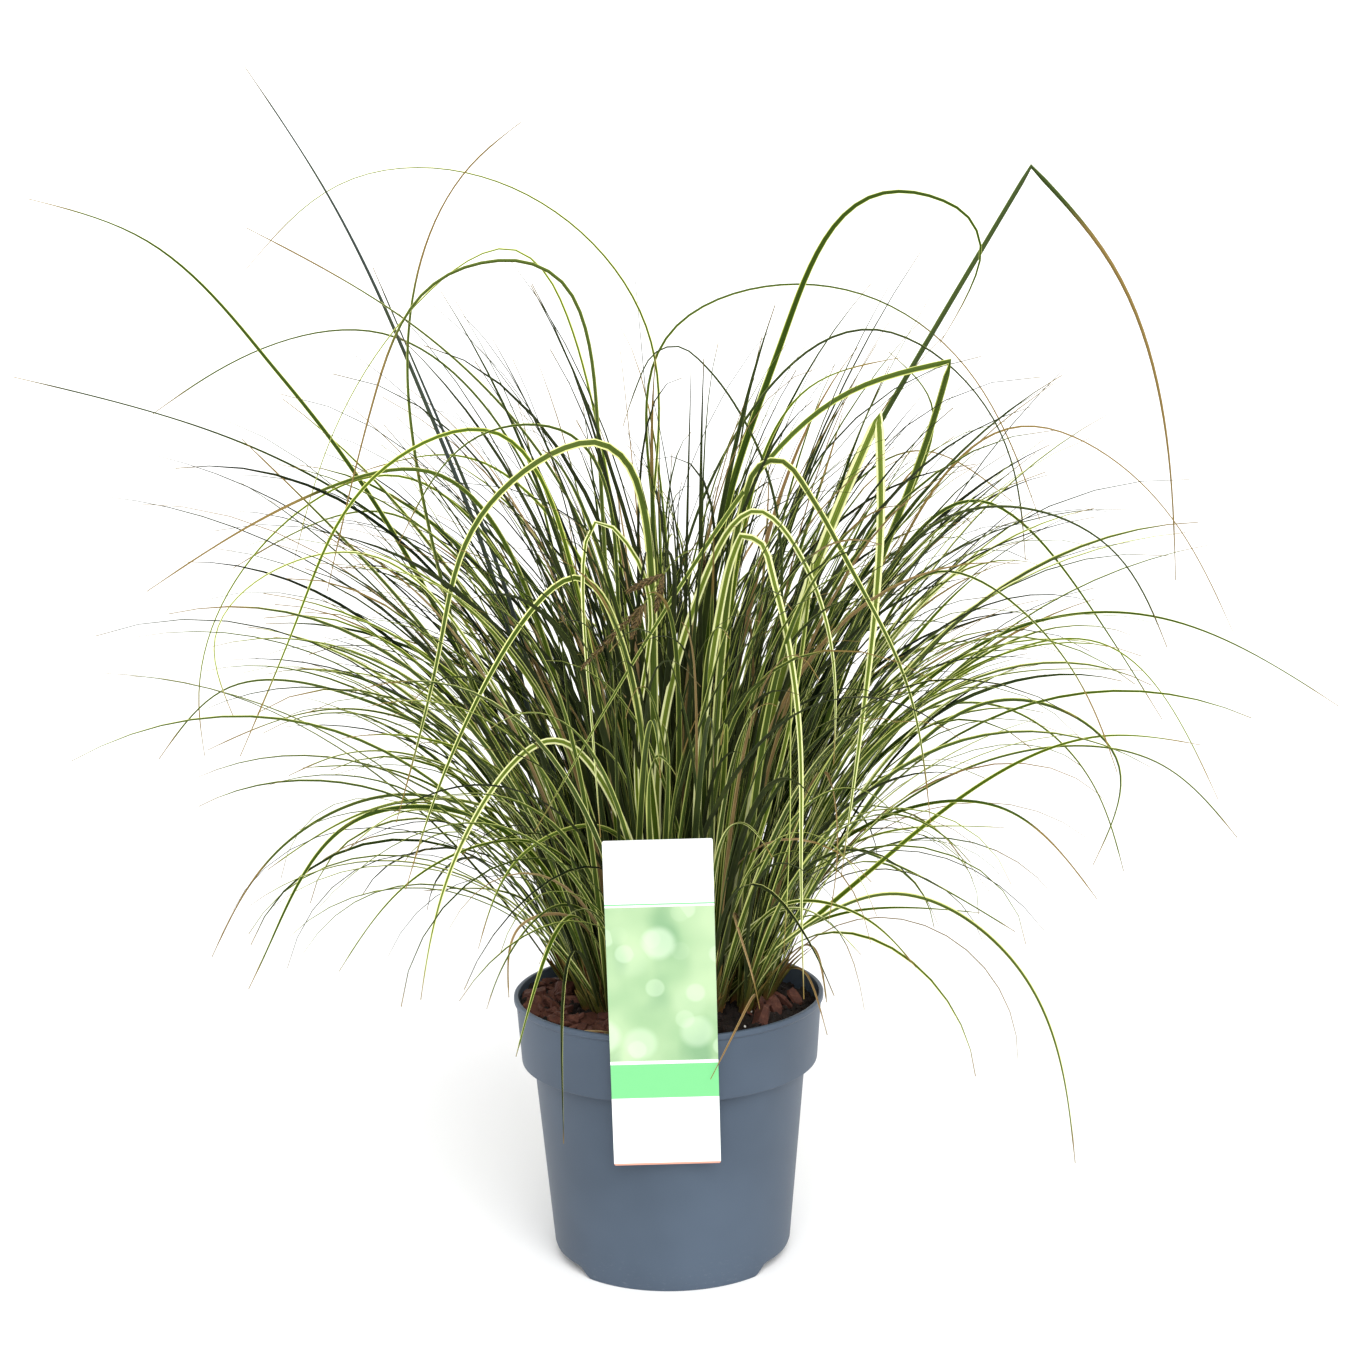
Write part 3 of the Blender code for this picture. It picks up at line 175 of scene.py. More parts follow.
# Leaves that follow the seeded rule: least and most of each size
ARCH_SPREAD = (5, 14)
ARCH_LENGTH = (0.30, 0.50)
ARCH_BEND = (24, 76)
ARCH_POWER = (1.3, 2.4)
ARCH_WIDTH = (0.0024, 0.0038)
ARCH_WAY_SCATTER = 0.03
ARCH_HEADING_SCATTER = 0.35
ARCH_DRIFT = 0.3
EDGE_SHORTER = 0.12
EDGE_BEND = 24
DRY_SHARE = 0.03
MOST_TWIST = 70

# Flower stem
STEM_STEPS = 20
STEM_FINE_STEPS = 48
STEM_HALF_WIDTHS = (0.00075, 0.00035)
STEM_KEEL = 0.0007
STEM_FOLD = -0.35
STEM_TWIST = 0.4
SPIKELET_RADIUS = 0.0024
FIRST_SPIKELET = 0.68
STEM_ROOM = 0.0016
SPIKELET_ROOM = 0.0070
END_SPIKELET_START = 0.92
END_SPIKELET_REACH = 0.3

# Scales of a spikelet: half widths at the root, the middle and the tip
SCALES_EACH = 46
SCALE_LENGTH = (0.0034, 0.0050)
SCALE_HALF_WIDTHS = (0.0005, 0.00085, 0.0001)
SCALE_STAND = (0.7, 1.25)
SCALE_ROOT = 0.0003
SCALE_KEEL = 0.0002
SCALE_FOLD = 0.5

# Label card, hooked over the rim
LABEL_WIDTH = 0.0625
LABEL_BELOW_RIM = 0.0765
LABEL_ABOVE_RIM = 0.1250
LABEL_THICKNESS = 0.0007
LABEL_SHIFT = -0.0026
LABEL_TILT = math.radians(0.7)
CARD_CORNER = 0.0012
CARD_CORNER_STEPS = 5
CARD_MIDDLE = 0.02
HOOK_WIDTH = 0.022
HOOK_THICKNESS = 0.0012
HOOK_DROP = 0.0065
HOOK_WALL_CLEARANCE = 0.0011

# Long leaves that stand out of the clump. Each has its width in millimetres, the index of
# the point where it is folded (0 for none), and points in centimetres up to its tip.
LONG_LEAVES = (
    # Left side, tall
    (4.2, 3, ((-12.5, 4.5, 36.5), (-20.5, 6, 50.5), (-24, 6.5, 55), (-31.5, 7.5, 62.5), (-38.5, 8, 65))),
    (3.6, 0, ((-13, -2.5, 38), (-18.5, -3, 45), (-24, -4, 51))),
    (3.6, 0, ((-10.5, 3, 42.5), (-14, 4, 52), (-19.5, 5, 64.5), (-24.5, 6, 72.5))),
    (3.4, 0, ((-10, 4.5, 42), (-13.5, 6, 51), (-17.5, 8, 60.5))),
    (2.8, 0, ((-11.5, 2.5, 34.5), (-14.5, 3.5, 47), (-15, 4, 57), (-11, 4.5, 66.5), (-8, 5, 69))),
    (3.8, 0, ((-7, -3, 39), (-13.5, -4, 49), (-19.5, -5, 48), (-29.5, -6, 42.5))),
    (3.6, 0, ((-6, 3, 44.5), (-11.5, 4, 49), (-19, 5, 48))),
    (3.0, 0, ((-2.5, -5.5, 41.5), (-5.5, -7.5, 51.5), (-9.5, -8.5, 51.5), (-14.5, -10, 45.5))),
    (3.2, 0, ((-3.5, -4, 51), (-6.5, -4.5, 60.5), (-12, -5.5, 60), (-16, -6, 53.5), (-19, -7, 42.5))),
    (2.6, 0, ((-4, 1.5, 52.5), (-8.5, 2, 61.5), (-16, 2.5, 56.5), (-22.5, 3, 42.5))),
    (3.6, 0, ((-5, -6, 43), (-9.5, -7.5, 51.5), (-16, -9, 49), (-20, -10.5, 42), (-23.5, -12, 34))),
    (2.4, 0, ((-8.5, 3, 40.5), (-16, 4, 48), (-24.5, 5, 43.5), (-29, 5.5, 34), (-29, 6, 30.5))),
    (2.6, 0, ((-9, 4.5, 37.5), (-17, 6.5, 45.5), (-27, 8, 42))),
    (2.4, 0, ((-11, -4.5, 38.5), (-17.5, -5.5, 44.5), (-25.5, -7, 40), (-24.5, -8, 35.5))),
    (2.6, 0, ((-5, 2, 45.5), (-14.5, 3, 57), (-24.5, 4, 63))),
    (2.4, 0, ((-0.5, 4.5, 46), (-0.5, 5.5, 56), (-9.5, 7, 65.5), (-19.5, 8, 65.5), (-25.5, 9, 60.5))),
    (2.2, 0, ((-7.5, 5.5, 46.5), (-17, 7.5, 56.5), (-26, 9, 55), (-32, 10, 51.5))),
    (2.2, 0, ((-10, 4.5, 38), (-26.5, 7, 50.5), (-39.5, 9, 54))),
    # Left side, low
    (2.8, 0, ((-9.5, -2.5, 30), (-17.5, -3.5, 35.5), (-25.5, -4.5, 36.5), (-29.5, -5, 32.5))),
    (2.4, 0, ((-11.5, 5.5, 30), (-20, 7.5, 33), (-29.5, 10, 30))),
    (2.8, 0, ((-9.5, 2.5, 30), (-16, 4, 35), (-23, 5, 36))),
    (2.6, 0, ((-10.5, -5, 30.5), (-18.5, -7, 33), (-21.5, -8, 32))),
    (2.6, 0, ((-10, 2, 26), (-17.5, 3.5, 30), (-22.5, 4, 30))),
    (3.0, 0, ((-10, 2, 26.5), (-18, 2.5, 28.5), (-25, 3.5, 24.5), (-28.5, 4, 17))),
    (4.0, 0, ((-10.5, -5, 28.5), (-18, -7, 29), (-23, -9.5, 22), (-24, -10, 20))),
    (3.0, 0, ((-11.5, 5.5, 27), (-17, 7, 27), (-26, 10, 22))),
    (2.8, 0, ((-10.5, -2.5, 26.5), (-16, -3.5, 28.5), (-18.5, -4, 27))),
    (3.0, 0, ((-8.5, -6, 27.5), (-14.5, -9, 26), (-18.5, -12, 21.5))),
    (2.4, 0, ((-9, 0, 22.5), (-15, 0, 23))),
    # Front, hanging on the left
    (3.6, 0, ((-3, -7, 30), (-6, -9, 34), (-11.5, -12.5, 28.5), (-13.5, -16, 21))),
    (3.6, 0, ((-1.5, -8, 36), (-4.5, -10.5, 43.5), (-10.5, -13.5, 36.5), (-14, -17, 27.5))),
    (4.4, 0, ((-0.5, -7.5, 39), (-3.5, -10.5, 51), (-9.5, -12, 47.5), (-12, -13.5, 40.5), (-14.5, -16, 31))),
    (4.0, 0, ((-5, -7, 28.5), (-8, -9, 27.5), (-10.5, -13, 23))),
    (3.4, 0, ((-6.5, -6, 22.5), (-9, -9, 20.5), (-11, -12, 18.5))),
    (3.4, 0, ((-5.5, -6.5, 23), (-8.5, -14, 17))),
    (3.0, 0, ((-1.4, -7, 35), (-1.4, -9, 44.5), (-3, -10, 46.5), (-4, -12, 37), (-3.5, -14, 29.5))),
    # Right side, tall
    (4.2, 0, ((4, 2, 46), (7.5, 2.5, 56), (14, 3.5, 64.5), (19, 3.5, 62.5), (17, 4, 55.5))),
    (3.6, 0, ((5, -2, 45.5), (9, -2.5, 53.5), (14, -3, 55))),
    (4.4, 0, ((10, 2.5, 34), (15, 4, 46), (16.5, 4.5, 52), (14, 5, 55))),
    (4.0, 0, ((9, -1, 40.5), (11.5, -1.5, 50), (13.5, -1.5, 54.5))),
    (4.6, 3, ((13, 1, 42), (16, -1, 50), (17, -3, 54.5), (11, -6, 53), (3, -10, 46), (-7, -15, 30))),
    (4.8, 2, ((9, -5.5, 43.5), (12.5, -6.5, 52), (12.5, -7.5, 46), (11.5, -8.5, 36), (10, -10, 26))),
    (4.6, 3, ((7, 4, 36), (16.5, 6.5, 55.5), (23, 8, 66), (28, 8, 60), (31.5, 7, 48.5), (32, 6.5, 40.5))),
    (2.6, 0, ((7, -3.5, 41), (5, -4.5, 51.5), (0.5, -5.5, 56), (-2, -6, 51.5))),
    (2.2, 0, ((-0.5, 5, 46), (0.5, 6, 56), (10, 7.5, 59), (18.5, 8.5, 54.5), (24, 10, 44))),
    (2.2, 0, ((4, 1, 49.5), (12.5, 1.5, 56.5), (20, 1.5, 51), (22, 2, 42.5))),
    (2.4, 0, ((8.5, 7.5, 42), (16.5, 10.5, 48.5), (22.5, 12, 45))),
    (2.6, 0, ((11, -2.5, 38.5), (17.5, -3, 46), (26, -3.5, 44), (29.5, -4, 38))),
    (3.4, 0, ((11.5, 3, 37.5), (19, 3.5, 46), (26.5, 4.5, 39), (31, 5, 32))),
    (2.8, 0, ((11, -4.5, 35), (16, -6, 43), (23, -7, 38), (26, -8, 31.5))),
    (2.4, 0, ((12, 3, 37.5), (22.5, 4.5, 50.5), (29, 5, 47.5), (35.5, 6, 37.5))),
    # Right side, low
    (3.2, 0, ((12.5, 1.5, 31.5), (22, 2, 38.5), (29, 2.5, 39), (41.5, 3, 33))),
    (3.6, 0, ((12.5, -2, 25.5), (20, -3, 31), (25.5, -3.5, 33.5), (32.5, -4, 32))),
    (2.8, 0, ((12, 3.5, 24.5), (21.5, 6, 25))),
    (3.2, 0, ((12.5, -1.5, 26), (19.5, -2.5, 28.5), (25, -3, 23.5))),
    (3.6, 0, ((12, -3, 28.5), (21, -4, 35), (26.5, -5, 31.5), (25, -6, 25.5))),
    (2.2, 0, ((12.5, 4, 25.5), (22, 5.5, 30), (31.5, 7, 28.5), (36.5, 8, 23.5))),
    (2.2, 0, ((12.5, 6.5, 30.5), (20.5, 8.5, 32.5), (27.5, 10.5, 27), (30, 12, 20.5))),
    (3.0, 0, ((13, 6, 31), (21.5, 8, 35), (30, 10, 35))),
    (2.2, 0, ((14.5, 1, 33), (26.5, 1.5, 37.5), (34, 2, 27.5))),
    (3.2, 0, ((9, -4, 22), (13.5, -4.5, 23.5), (20, -6.5, 20), (24, -9, 8.5))),
    (2.4, 0, ((9.5, 1, 25), (14, 1.5, 24), (21.5, 2, 19))),
    (2.8, 0, ((10.5, -1, 21.5), (18.5, -2.5, 21.5))),
    # Front, hanging on the right
    (3.8, 0, ((3.5, -8, 39.5), (6.5, -10.5, 50), (10.5, -12.5, 44), (13.5, -14, 37.5), (14.5, -16, 30.5))),
    (4.0, 0, ((2, -8.5, 42), (5.5, -10, 47), (8, -11, 44), (9.5, -14, 33.5))),
    (3.8, 0, ((3, -8.5, 39.5), (5, -10, 46), (7, -12, 40), (7.5, -15, 28.5), (7.5, -17, 21))),
    (3.0, 2, ((7.5, -8, 36), (8.5, -9.5, 44), (7.5, -11, 40), (7, -13, 31), (6.5, -15, 23))),
    (3.2, 0, ((8, -7.5, 24), (11.5, -10, 23.5), (14, -13, 21.5))),
    (2.8, 0, ((8.5, -8.5, 23.5), (11, -12, 22))),
    # Dry leaves
    (3.0, 0, ((-6.5, -4.5, 23), (-8.5, -7.5, 22.5), (-9.5, -9.5, 19))),
    (2.6, 0, ((8, -4.5, 20.5), (9.2, -9, 18.5))),
    (2.8, 0, ((9, -7, 30), (10.5, -9, 27.5), (9, -11, 24))),
)
DRY_LONG_LEAVES = 3

# Flower stem: points in centimetres, then each spikelet's place along it, length and lean
FLOWER_LINE = (
    (0.3, -5, 34.3),
    (1.8, -7.2, 40.5),
    (2.7, -9, 44.6),
    (1.6, -10.2, 44.9),
    (-0.8, -11.8, 42.3),
    (-2.4, -12.4, 40.6),
    (-3.7, -13, 39.5),
)
SPIKELETS = (
    (0.70, 0.017, (-0.35, -0.30, 0.35)),
    (0.83, 0.021, (0.30, -0.30, -0.25)),
    (0.86, 0.022, (-0.15, 0.30, 0.45)),
    (0.90, 0.020, (0.25, -0.30, -0.30)),
)

# Thin leaves: least and most of length, bend in degrees and power of the bend
UPRIGHT = ((0.26, 0.50), (14, 92), (1.6, 3.2))
UPRIGHT_LEAN = 0.44
UPRIGHT_HEADING_SCATTER = 0.85
DROOPING = ((0.22, 0.35), (80, 140), (1.1, 2.0))
DROOPING_EVERY = 9
DROOPING_HEADING_SCATTER = 0.5
FINE_TRIES = 10
FINE_GROUPS = 6
FINE_WIDTH = (0.0018, 0.0036)
FINE_ROOT = (0.0006, 0.0046)
FINE_SPREAD = (2, 15)
FINE_EDGE_BEND = 20
FINE_DRIFT = 0.4
FINE_MOST_TWIST = 1.3
FINE_KEEL_SHARE = 0.6
FINE_DRY_SHARE = 0.05
FINE_STRIDE = 2
ROOM_STRIDE = 4
ROOM_SHARE = 0.4
OVER_LABEL_SHARE = 0.6
OVER_LABEL_ROOM = 0.02
# Tufts nearer the middle than this share of the crown's edge take finishes of painted shade
INNER_SHADE_REACH = 0.72

# Sheaths round the foot of each shoot
SHEATHS_EACH = 8
SHEATH_ROWS = 9
SHEATH_SUNK = 0.002
SHEATH_LENGTHS = (0.30, 1.0)
SHEATH_ROOT = (0.0022, 0.0052)
SHEATH_FLARE = (1, 10)
SHEATH_CURL = 0.5
SHEATH_TURN_SCATTER = 0.35
SHEATH_HALF_WIDTH = (0.0014, 0.0026)
SHEATH_KEEL = 0.00035
SHEATH_FOLD = 0.6

# A bend sharper than this in a long leaf is a fold, and stays sharp
SHARP_FOLD = math.radians(60)

# Dry strands and one pale hanging leaf. Each has its width in millimetres, its finish and its
# points in centimetres.
LOOSE_STEPS = 40
LOOSE_MOST_TWIST = 1.5
LOOSE_KEEL = 0.0002
LOOSE_FOLD = 0.5
LOOSE_BLADES = (
    (1.6, 10, ((5.2, -3.0, 16.5), (5.0, -6.0, 17.8), (3.9, -8.6, 16.6), (2.4, -10.2, 14.2))),
    (1.5, 11, ((4.6, -2.0, 21.0), (4.0, -4.5, 22.4), (4.9, -6.0, 19.5), (5.4, -6.5, 17.2))),
    (1.4, 10, ((7.2, -2.5, 18.5), (8.2, -5.0, 18.9), (8.9, -7.0, 17.4), (9.3, -7.6, 15.9))),
    (2.2, 11, ((-3.2, -6.8, 15.9), (-4.4, -6.9, 16.1), (-6.0, -6.6, 15.9))),
    (3.2, 19, (
        (-1.2, -3.8, 15.8), (-1.3, -5.6, 25), (-1.4, -7, 35), (-1.4, -9, 44.5),
        (-3, -10, 46.5), (-4, -12, 37), (-3.5, -14, 29.5),
    )),
)

# Stage
SURROUND_LIGHT = 1.0
KEY_STRENGTH = 2.7
KEY_SOFTNESS = math.radians(48)
KEY_PLACE = (0.6, -2.7, 2.3)
SWEEP_START = 3.0
SWEEP_END = 9.0
SWEEP_HEIGHT = 2.6
SWEEP_STEPS = 25
FLOOR_DEPTH = 0.004
FLOOR_SIDES = 96
FLOOR_MIDDLE = 0.02
CAMERA_PLACE = (0.0118, -1.5, 0.6187)
CAMERA_PITCH = math.radians(9.92)
CAMERA_ROLL = -0.0158
CAMERA_SENSOR = 36.0
CAMERA_LENS = 2531 / 1366 * 36
CAMERA_FAR = 60.0


def smooth_step(value):
    """0 below 0, 1 above 1, and an S curve between."""
    value = np.clip(value, 0.0, 1.0)
    return value * value * (3.0 - 2.0 * value)


def unit(vectors):
    """Each vector divided by its own length."""
    return vectors / np.linalg.norm(vectors, axis=-1, keepdims=True)


def golden_turns(count):
    """Angles that go up by the golden angle, a half turn times 3 less the square root of 5."""
    return np.arange(count) * math.pi * (3 - math.sqrt(5))


def foot_height(angle):
    """Height of the pot's lower edge: two wide feet, front and back, and a notch on each side."""
    from_side = np.abs((angle + math.pi / 2) % math.pi - math.pi / 2)
    return NOTCH_HEIGHT * (1.0 - smooth_step((from_side - NOTCH_HALF_ANGLE) / NOTCH_BLEND))


def body_radius(height):
    """Outer radius of the pot's tapering body."""
    return BODY_FOOT_RADIUS + (BODY_TOP_RADIUS - BODY_FOOT_RADIUS) * height / BAND_FOOT_HEIGHT


def inner_radius(height):
    """Inner radius of the pot at a height, body or band."""
    if height < BAND_FOOT_HEIGHT + WALL:
        return body_radius(height) - WALL
    share = (height - BAND_FOOT_HEIGHT) / (POT_HEIGHT - BAND_FOOT_HEIGHT)
    return BAND_FOOT_RADIUS + (BAND_TOP_RADIUS - BAND_FOOT_RADIUS) * share - WALL


def soil_height(x, y):
    """Height of the soil: level at the crown, falling to the wall, with a mound on the left.

    Two sets of ripples run round it, the finer one winding as it goes outward, and the mound is
    a bell curve of the angle from the left.
    """
    radius = np.hypot(x, y)
    angle = np.arctan2(y, x)
    outward = smooth_step((radius - SOIL_RINGS[0]) / (LIP_RADIUS - SOIL_RINGS[0]))
    ripple = RIPPLES[0] * np.sin(RIPPLE_COUNTS[0] * angle + RIPPLE_START)
    ripple = ripple + RIPPLES[1] * np.sin(RIPPLE_COUNTS[1] * angle + RIPPLE_WINDING * radius)
    from_left = np.abs((angle % (2 * math.pi)) - MOUND_ANGLE)
    mound = MOUND_RISE * np.exp(-((from_left / MOUND_SPREAD) ** 2))
    return SOIL_TOP + outward * (mound + ripple - SOIL_FALL)


def label_frame():
    """The middle of the label's back where it leans on the lip, and its across, up and inward."""
    run = BAND_FOOT_RADIUS - LIP_RADIUS
    rise = (POT_HEIGHT - LIP_DEPTH) - (BAND_FOOT_HEIGHT + BAND_CHAMFER_RISE)
    lean = math.atan2(-run, rise)
    up = np.array([0.0, -math.sin(lean), math.cos(lean)])
    inward = np.array([0.0, math.cos(lean), math.sin(lean)])
    touch = np.array([LABEL_SHIFT, -LIP_RADIUS, POT_HEIGHT - LIP_DEPTH])
    level = np.array([1.0, 0.0, 0.0])
    across = level * math.cos(LABEL_TILT) + up * math.sin(LABEL_TILT)
    up = up * math.cos(LABEL_TILT) - level * math.sin(LABEL_TILT)
    return touch - inward * GAP, across, up, inward


def crown_places():
    """Where the tufts and the flower stem stand: a sunflower spiral over the crown."""
    count = TUFT_COUNT + 1
    reach = np.sqrt((np.arange(count) + 0.5) / count)
    turn = golden_turns(count) + CROWN_START_TURN
    x = CROWN_CENTRE[0] + CROWN_HALF_WIDTH * reach * np.cos(turn)
    y = CROWN_CENTRE[1] + CROWN_HALF_DEPTH * reach * np.sin(turn)
    places = np.stack([x, y], axis=1)
    nearest = int(np.argmin(np.hypot(*(places - FLOWER_ROOT).T)))
    return np.delete(places, nearest, axis=0), places[nearest]


def crown_offset(place):
    """A place measured from the middle of the crown: length 1 is on the crown's oval edge."""
    return (place - CROWN_CENTRE) / (CROWN_HALF_WIDTH, CROWN_HALF_DEPTH)


def edge_share(place):
    """How near a place is to the crown's edge: 0 in the middle, 1 on the edge and beyond it."""
    return min(float(np.hypot(*crown_offset(place))), 1.0)


def tuft_lean(place):
    """How a tuft leans, as the horizontal part of its axis per unit of height."""
    offset = crown_offset(place)
    reach = np.hypot(*offset)
    return offset / max(reach, 1e-6) * math.tan(math.radians(CENTRE_LEAN + EDGE_LEAN * reach**1.5))


def through(points, steps):
    """Even steps along a natural cubic curve through the points.

    The second derivative at each knot solves the usual three-term system, with none at the two
    ends, and each span is the cubic that these and its end points give.
    """
    points = np.asarray(points, float)
    chord = np.linalg.norm(np.diff(points, axis=0), axis=1)
    knots = np.concatenate([[0.0], np.cumsum(chord)])
    count = len(points)
    system = np.eye(count)
    right = np.zeros_like(points)
    for i in range(1, count - 1):
        before, after = chord[i - 1], chord[i]
        system[i, i - 1 : i + 2] = before, 2 * (before + after), after
        right[i] = 6 * ((points[i + 1] - points[i]) / after - (points[i] - points[i - 1]) / before)
    bend = np.linalg.solve(system, right)

    def at(value):
        """The curve's points at distances along the chords."""
        i = np.clip(np.searchsorted(knots, value, side="right") - 1, 0, count - 2)
        span = chord[i][:, None]
        a = (knots[i + 1] - value)[:, None]
        b = (value - knots[i])[:, None]
        curve = (bend[i] * a**3 + bend[i + 1] * b**3) / (6 * span)
        curve += (points[i] / span - bend[i] * span / 6) * a
        return curve + (points[i + 1] / span - bend[i + 1] * span / 6) * b

    fine = at(np.linspace(0, knots[-1], CURVE_SAMPLES))
    length = np.concatenate([[0.0], np.cumsum(np.linalg.norm(np.diff(fine, axis=0), axis=1))])
    wanted = np.linspace(0, length[-1], steps + 1)
    return np.stack([np.interp(wanted, length, fine[:, k]) for k in range(3)], axis=1)


def long_leaf_line(root, points, fold):
    """The line of a listed leaf: smooth, or in two smooth runs that meet at a fold."""
    whole = [root, *points]
    if not fold:
        return through(whole, LINE_STEPS)
    runs = (whole[: fold + 1], whole[fold:])
    lengths = [np.linalg.norm(np.diff(np.array(run), axis=0), axis=1).sum() for run in runs]
    first = int(np.clip(round(LINE_STEPS * lengths[0] / sum(lengths)), 6, LINE_STEPS - 6))
    lower = through(runs[0], first)
    upper = through(runs[1], LINE_STEPS - first)
    return np.concatenate([lower, upper[1:]])


def arching_line(root, lean, azimuth, length, bend, power, drift):
    """The line of a leaf that starts at an angle from upright and arches over more and more.

    At a share s of its length its tilt is lean + bend s^power and its heading azimuth + drift
    s^1.5, and the line is the sum of its steps.
    """
    share = (np.arange(LINE_STEPS) + 0.5) / LINE_STEPS
    tilt = lean + bend * share**power
    heading = azimuth + drift * share**1.5
    step = np.stack([np.sin(tilt) * np.cos(heading), np.sin(tilt) * np.sin(heading), np.cos(tilt)], axis=1)
    return root + np.concatenate([[[0.0, 0.0, 0.0]], np.cumsum(step, axis=0)]) * length / LINE_STEPS


def leaf_widths(width):
    """Half width at each point of a leaf's line: narrow at the sheath, full, then a long taper."""
    share = np.linspace(0, 1, LINE_STEPS + 1)
    widening = SHEATH_WIDTH_SHARE + (1 - SHEATH_WIDTH_SHARE) * smooth_step(share / FULL_WIDTH_AT)
    return width / 2 * widening * (1 - share ** TIP_TAPER[0]) ** TIP_TAPER[1]


def stations(line):
    """Which points of a leaf's line the solid uses: more of them where the leaf bends."""
    direction = unit(np.diff(line, axis=0))
    cosine = np.clip((direction[1:] * direction[:-1]).sum(axis=1), -1, 1)
    turning = np.concatenate([[0.0], np.arccos(cosine)])
    sharp = np.flatnonzero(turning > FOLD_TURN)
    eased = np.where(turning > FOLD_TURN, 0.0, turning)
    spans = round(SPANS_WHEN_STRAIGHT + eased.sum() / TURN_PER_SPAN)
    count = int(np.clip(spans, FEWEST_SPANS, MOST_SPANS))
    gauge = np.concatenate([[0.0], np.cumsum(1.0 / LINE_STEPS + eased * BEND_PULL)])
    wanted = np.linspace(0.0, gauge[-1], count + 1)
    chosen = np.clip(np.searchsorted(gauge, wanted - 1e-9), 0, LINE_STEPS)
    for fold in sharp:
        chosen[np.argmin(np.abs(chosen[1:-1] - fold)) + 1] = fold
    chosen = np.unique(np.concatenate([[0], chosen, [LINE_STEPS]]))
    halves = [chosen]
    for i, j in zip(chosen[:-1], chosen[1:]):
        if direction[i] @ direction[j - 1] < LEAST_COSINE:
            halves.append([(i + j) // 2])
    return np.unique(np.concatenate(halves)).astype(int)


def segment_distances(a, b, c, d):
    """Shortest distances between every segment a-b and every segment c-d.

    The nearest points of the two straight lines are found, and each is moved into its segment.
    """
    u = (b - a)[:, None]
    v = (d - c)[None]
    w = a[:, None] - c[None]
    uu = (u * u).sum(-1)
    vv = (v * v).sum(-1)
    uv = (u * v).sum(-1)
    uw = (u * w).sum(-1)
    vw = (v * w).sum(-1)
    spread = np.maximum(uu * vv - uv * uv, 1e-15)
    s = np.clip((uv * vw - uw * vv) / spread, 0, 1)
    t = np.clip((uv * s + vw) / vv, 0, 1)
    s = np.clip((uv * t - uw) / uu, 0, 1)
    apart = w + u * s[..., None] - v * t[..., None]
    return np.sqrt((apart * apart).sum(-1))


class Thicket:
    """The leaves placed so far, as straight spans with a radius and the tuft they belong to."""

    def __init__(self):
        """Starts with no leaves."""
        self.starts = np.zeros((0, 3))
        self.ends = np.zeros((0, 3))
        self.radii = np.zeros(0)
        self.owners = np.zeros(0, int)

    def add(self, line, radii, owner):
        """Records a chain of spans."""
        self.starts = np.concatenate([self.starts, line[:-1]])
        self.ends = np.concatenate([self.ends, line[1:]])
        self.radii = np.concatenate([self.radii, np.maximum(radii[:-1], radii[1:])])
        self.owners = np.concatenate([self.owners, np.full(len(line) - 1, owner)])

    def is_clear(self, line, radii, owner):
        """Whether a chain of spans passes the others with room to spare.

        Leaves of one tuft may touch low down, where they leave their shared crown.
        """
        low = line.min(axis=0) - NEAREST_MARGIN
        high = line.max(axis=0) + NEAREST_MARGIN
        upper = np.maximum(self.starts, self.ends)
        lower = np.minimum(self.starts, self.ends)
        shared = (self.owners == owner) & (lower[:, 2] < SOIL_TOP + SHARED_BASE)
        near = ~shared & (upper > low).all(axis=1) & (lower < high).all(axis=1)
        if not near.any():
            return True
        apart = segment_distances(line[:-1], line[1:], self.starts[near], self.ends[near])
        needed = np.maximum(radii[:-1], radii[1:])[:, None] + self.radii[near][None] + LEAF_CLEARANCE
        return bool((apart > needed).all())


def misses_pot(line):
    """Whether a leaf stays off the surface below, the soil, the rim and the label."""
    share = np.linspace(0, 1, CHECKS_PER_SPAN)[:, None, None]
    points = (line[:-1] * (1 - share) + line[1:] * share).reshape(-1, 3)
    radius = np.hypot(points[:, 0], points[:, 1])
    root_distance = np.linalg.norm(points - line[0], axis=1)
    free = points[root_distance > NEAR_ROOT]
    radius = radius[root_distance > NEAR_ROOT]
    over_soil = (radius < LIP_RADIUS + RIM_ROOM) & (free[:, 2] < SOIL_TOP + SOIL_ROOM)
    over_rim = (np.abs(radius - LIP_RADIUS) < RIM_ROOM + CARD_ROOM) & (free[:, 2] < POT_HEIGHT + CARD_ROOM)
    touch, across, up, inward = label_frame()
    offset = free - touch
    beside = np.abs(offset @ across) < LABEL_WIDTH / 2 + CARD_ROOM
    level = offset @ up
    at_card = beside & (level > -LABEL_BELOW_RIM - CARD_ROOM) & (level < LABEL_ABOVE_RIM + CARD_ROOM)
    on_card = at_card & (np.abs(offset @ inward) < RIM_ROOM)
    too_low = free[:, 2] < LOWEST_LEAF
    return not (over_soil.any() or over_rim.any() or on_card.any() or too_low.any())


def slot_way(tuft, slot):
    """The horizontal direction of one of the places round a tuft that a leaf leaves from."""
    turn = 2 * math.pi * slot / LEAVES_PER_TUFT + tuft
    return np.array([math.cos(turn), math.sin(turn)])


def leaf_root(place, tuft, slot):
    """Where a leaf's line starts, inside the tuft's crown."""
    return np.array([*(place + slot_way(tuft, slot) * ROOT_CIRCLE), SOIL_TOP + ROOT_RISE])


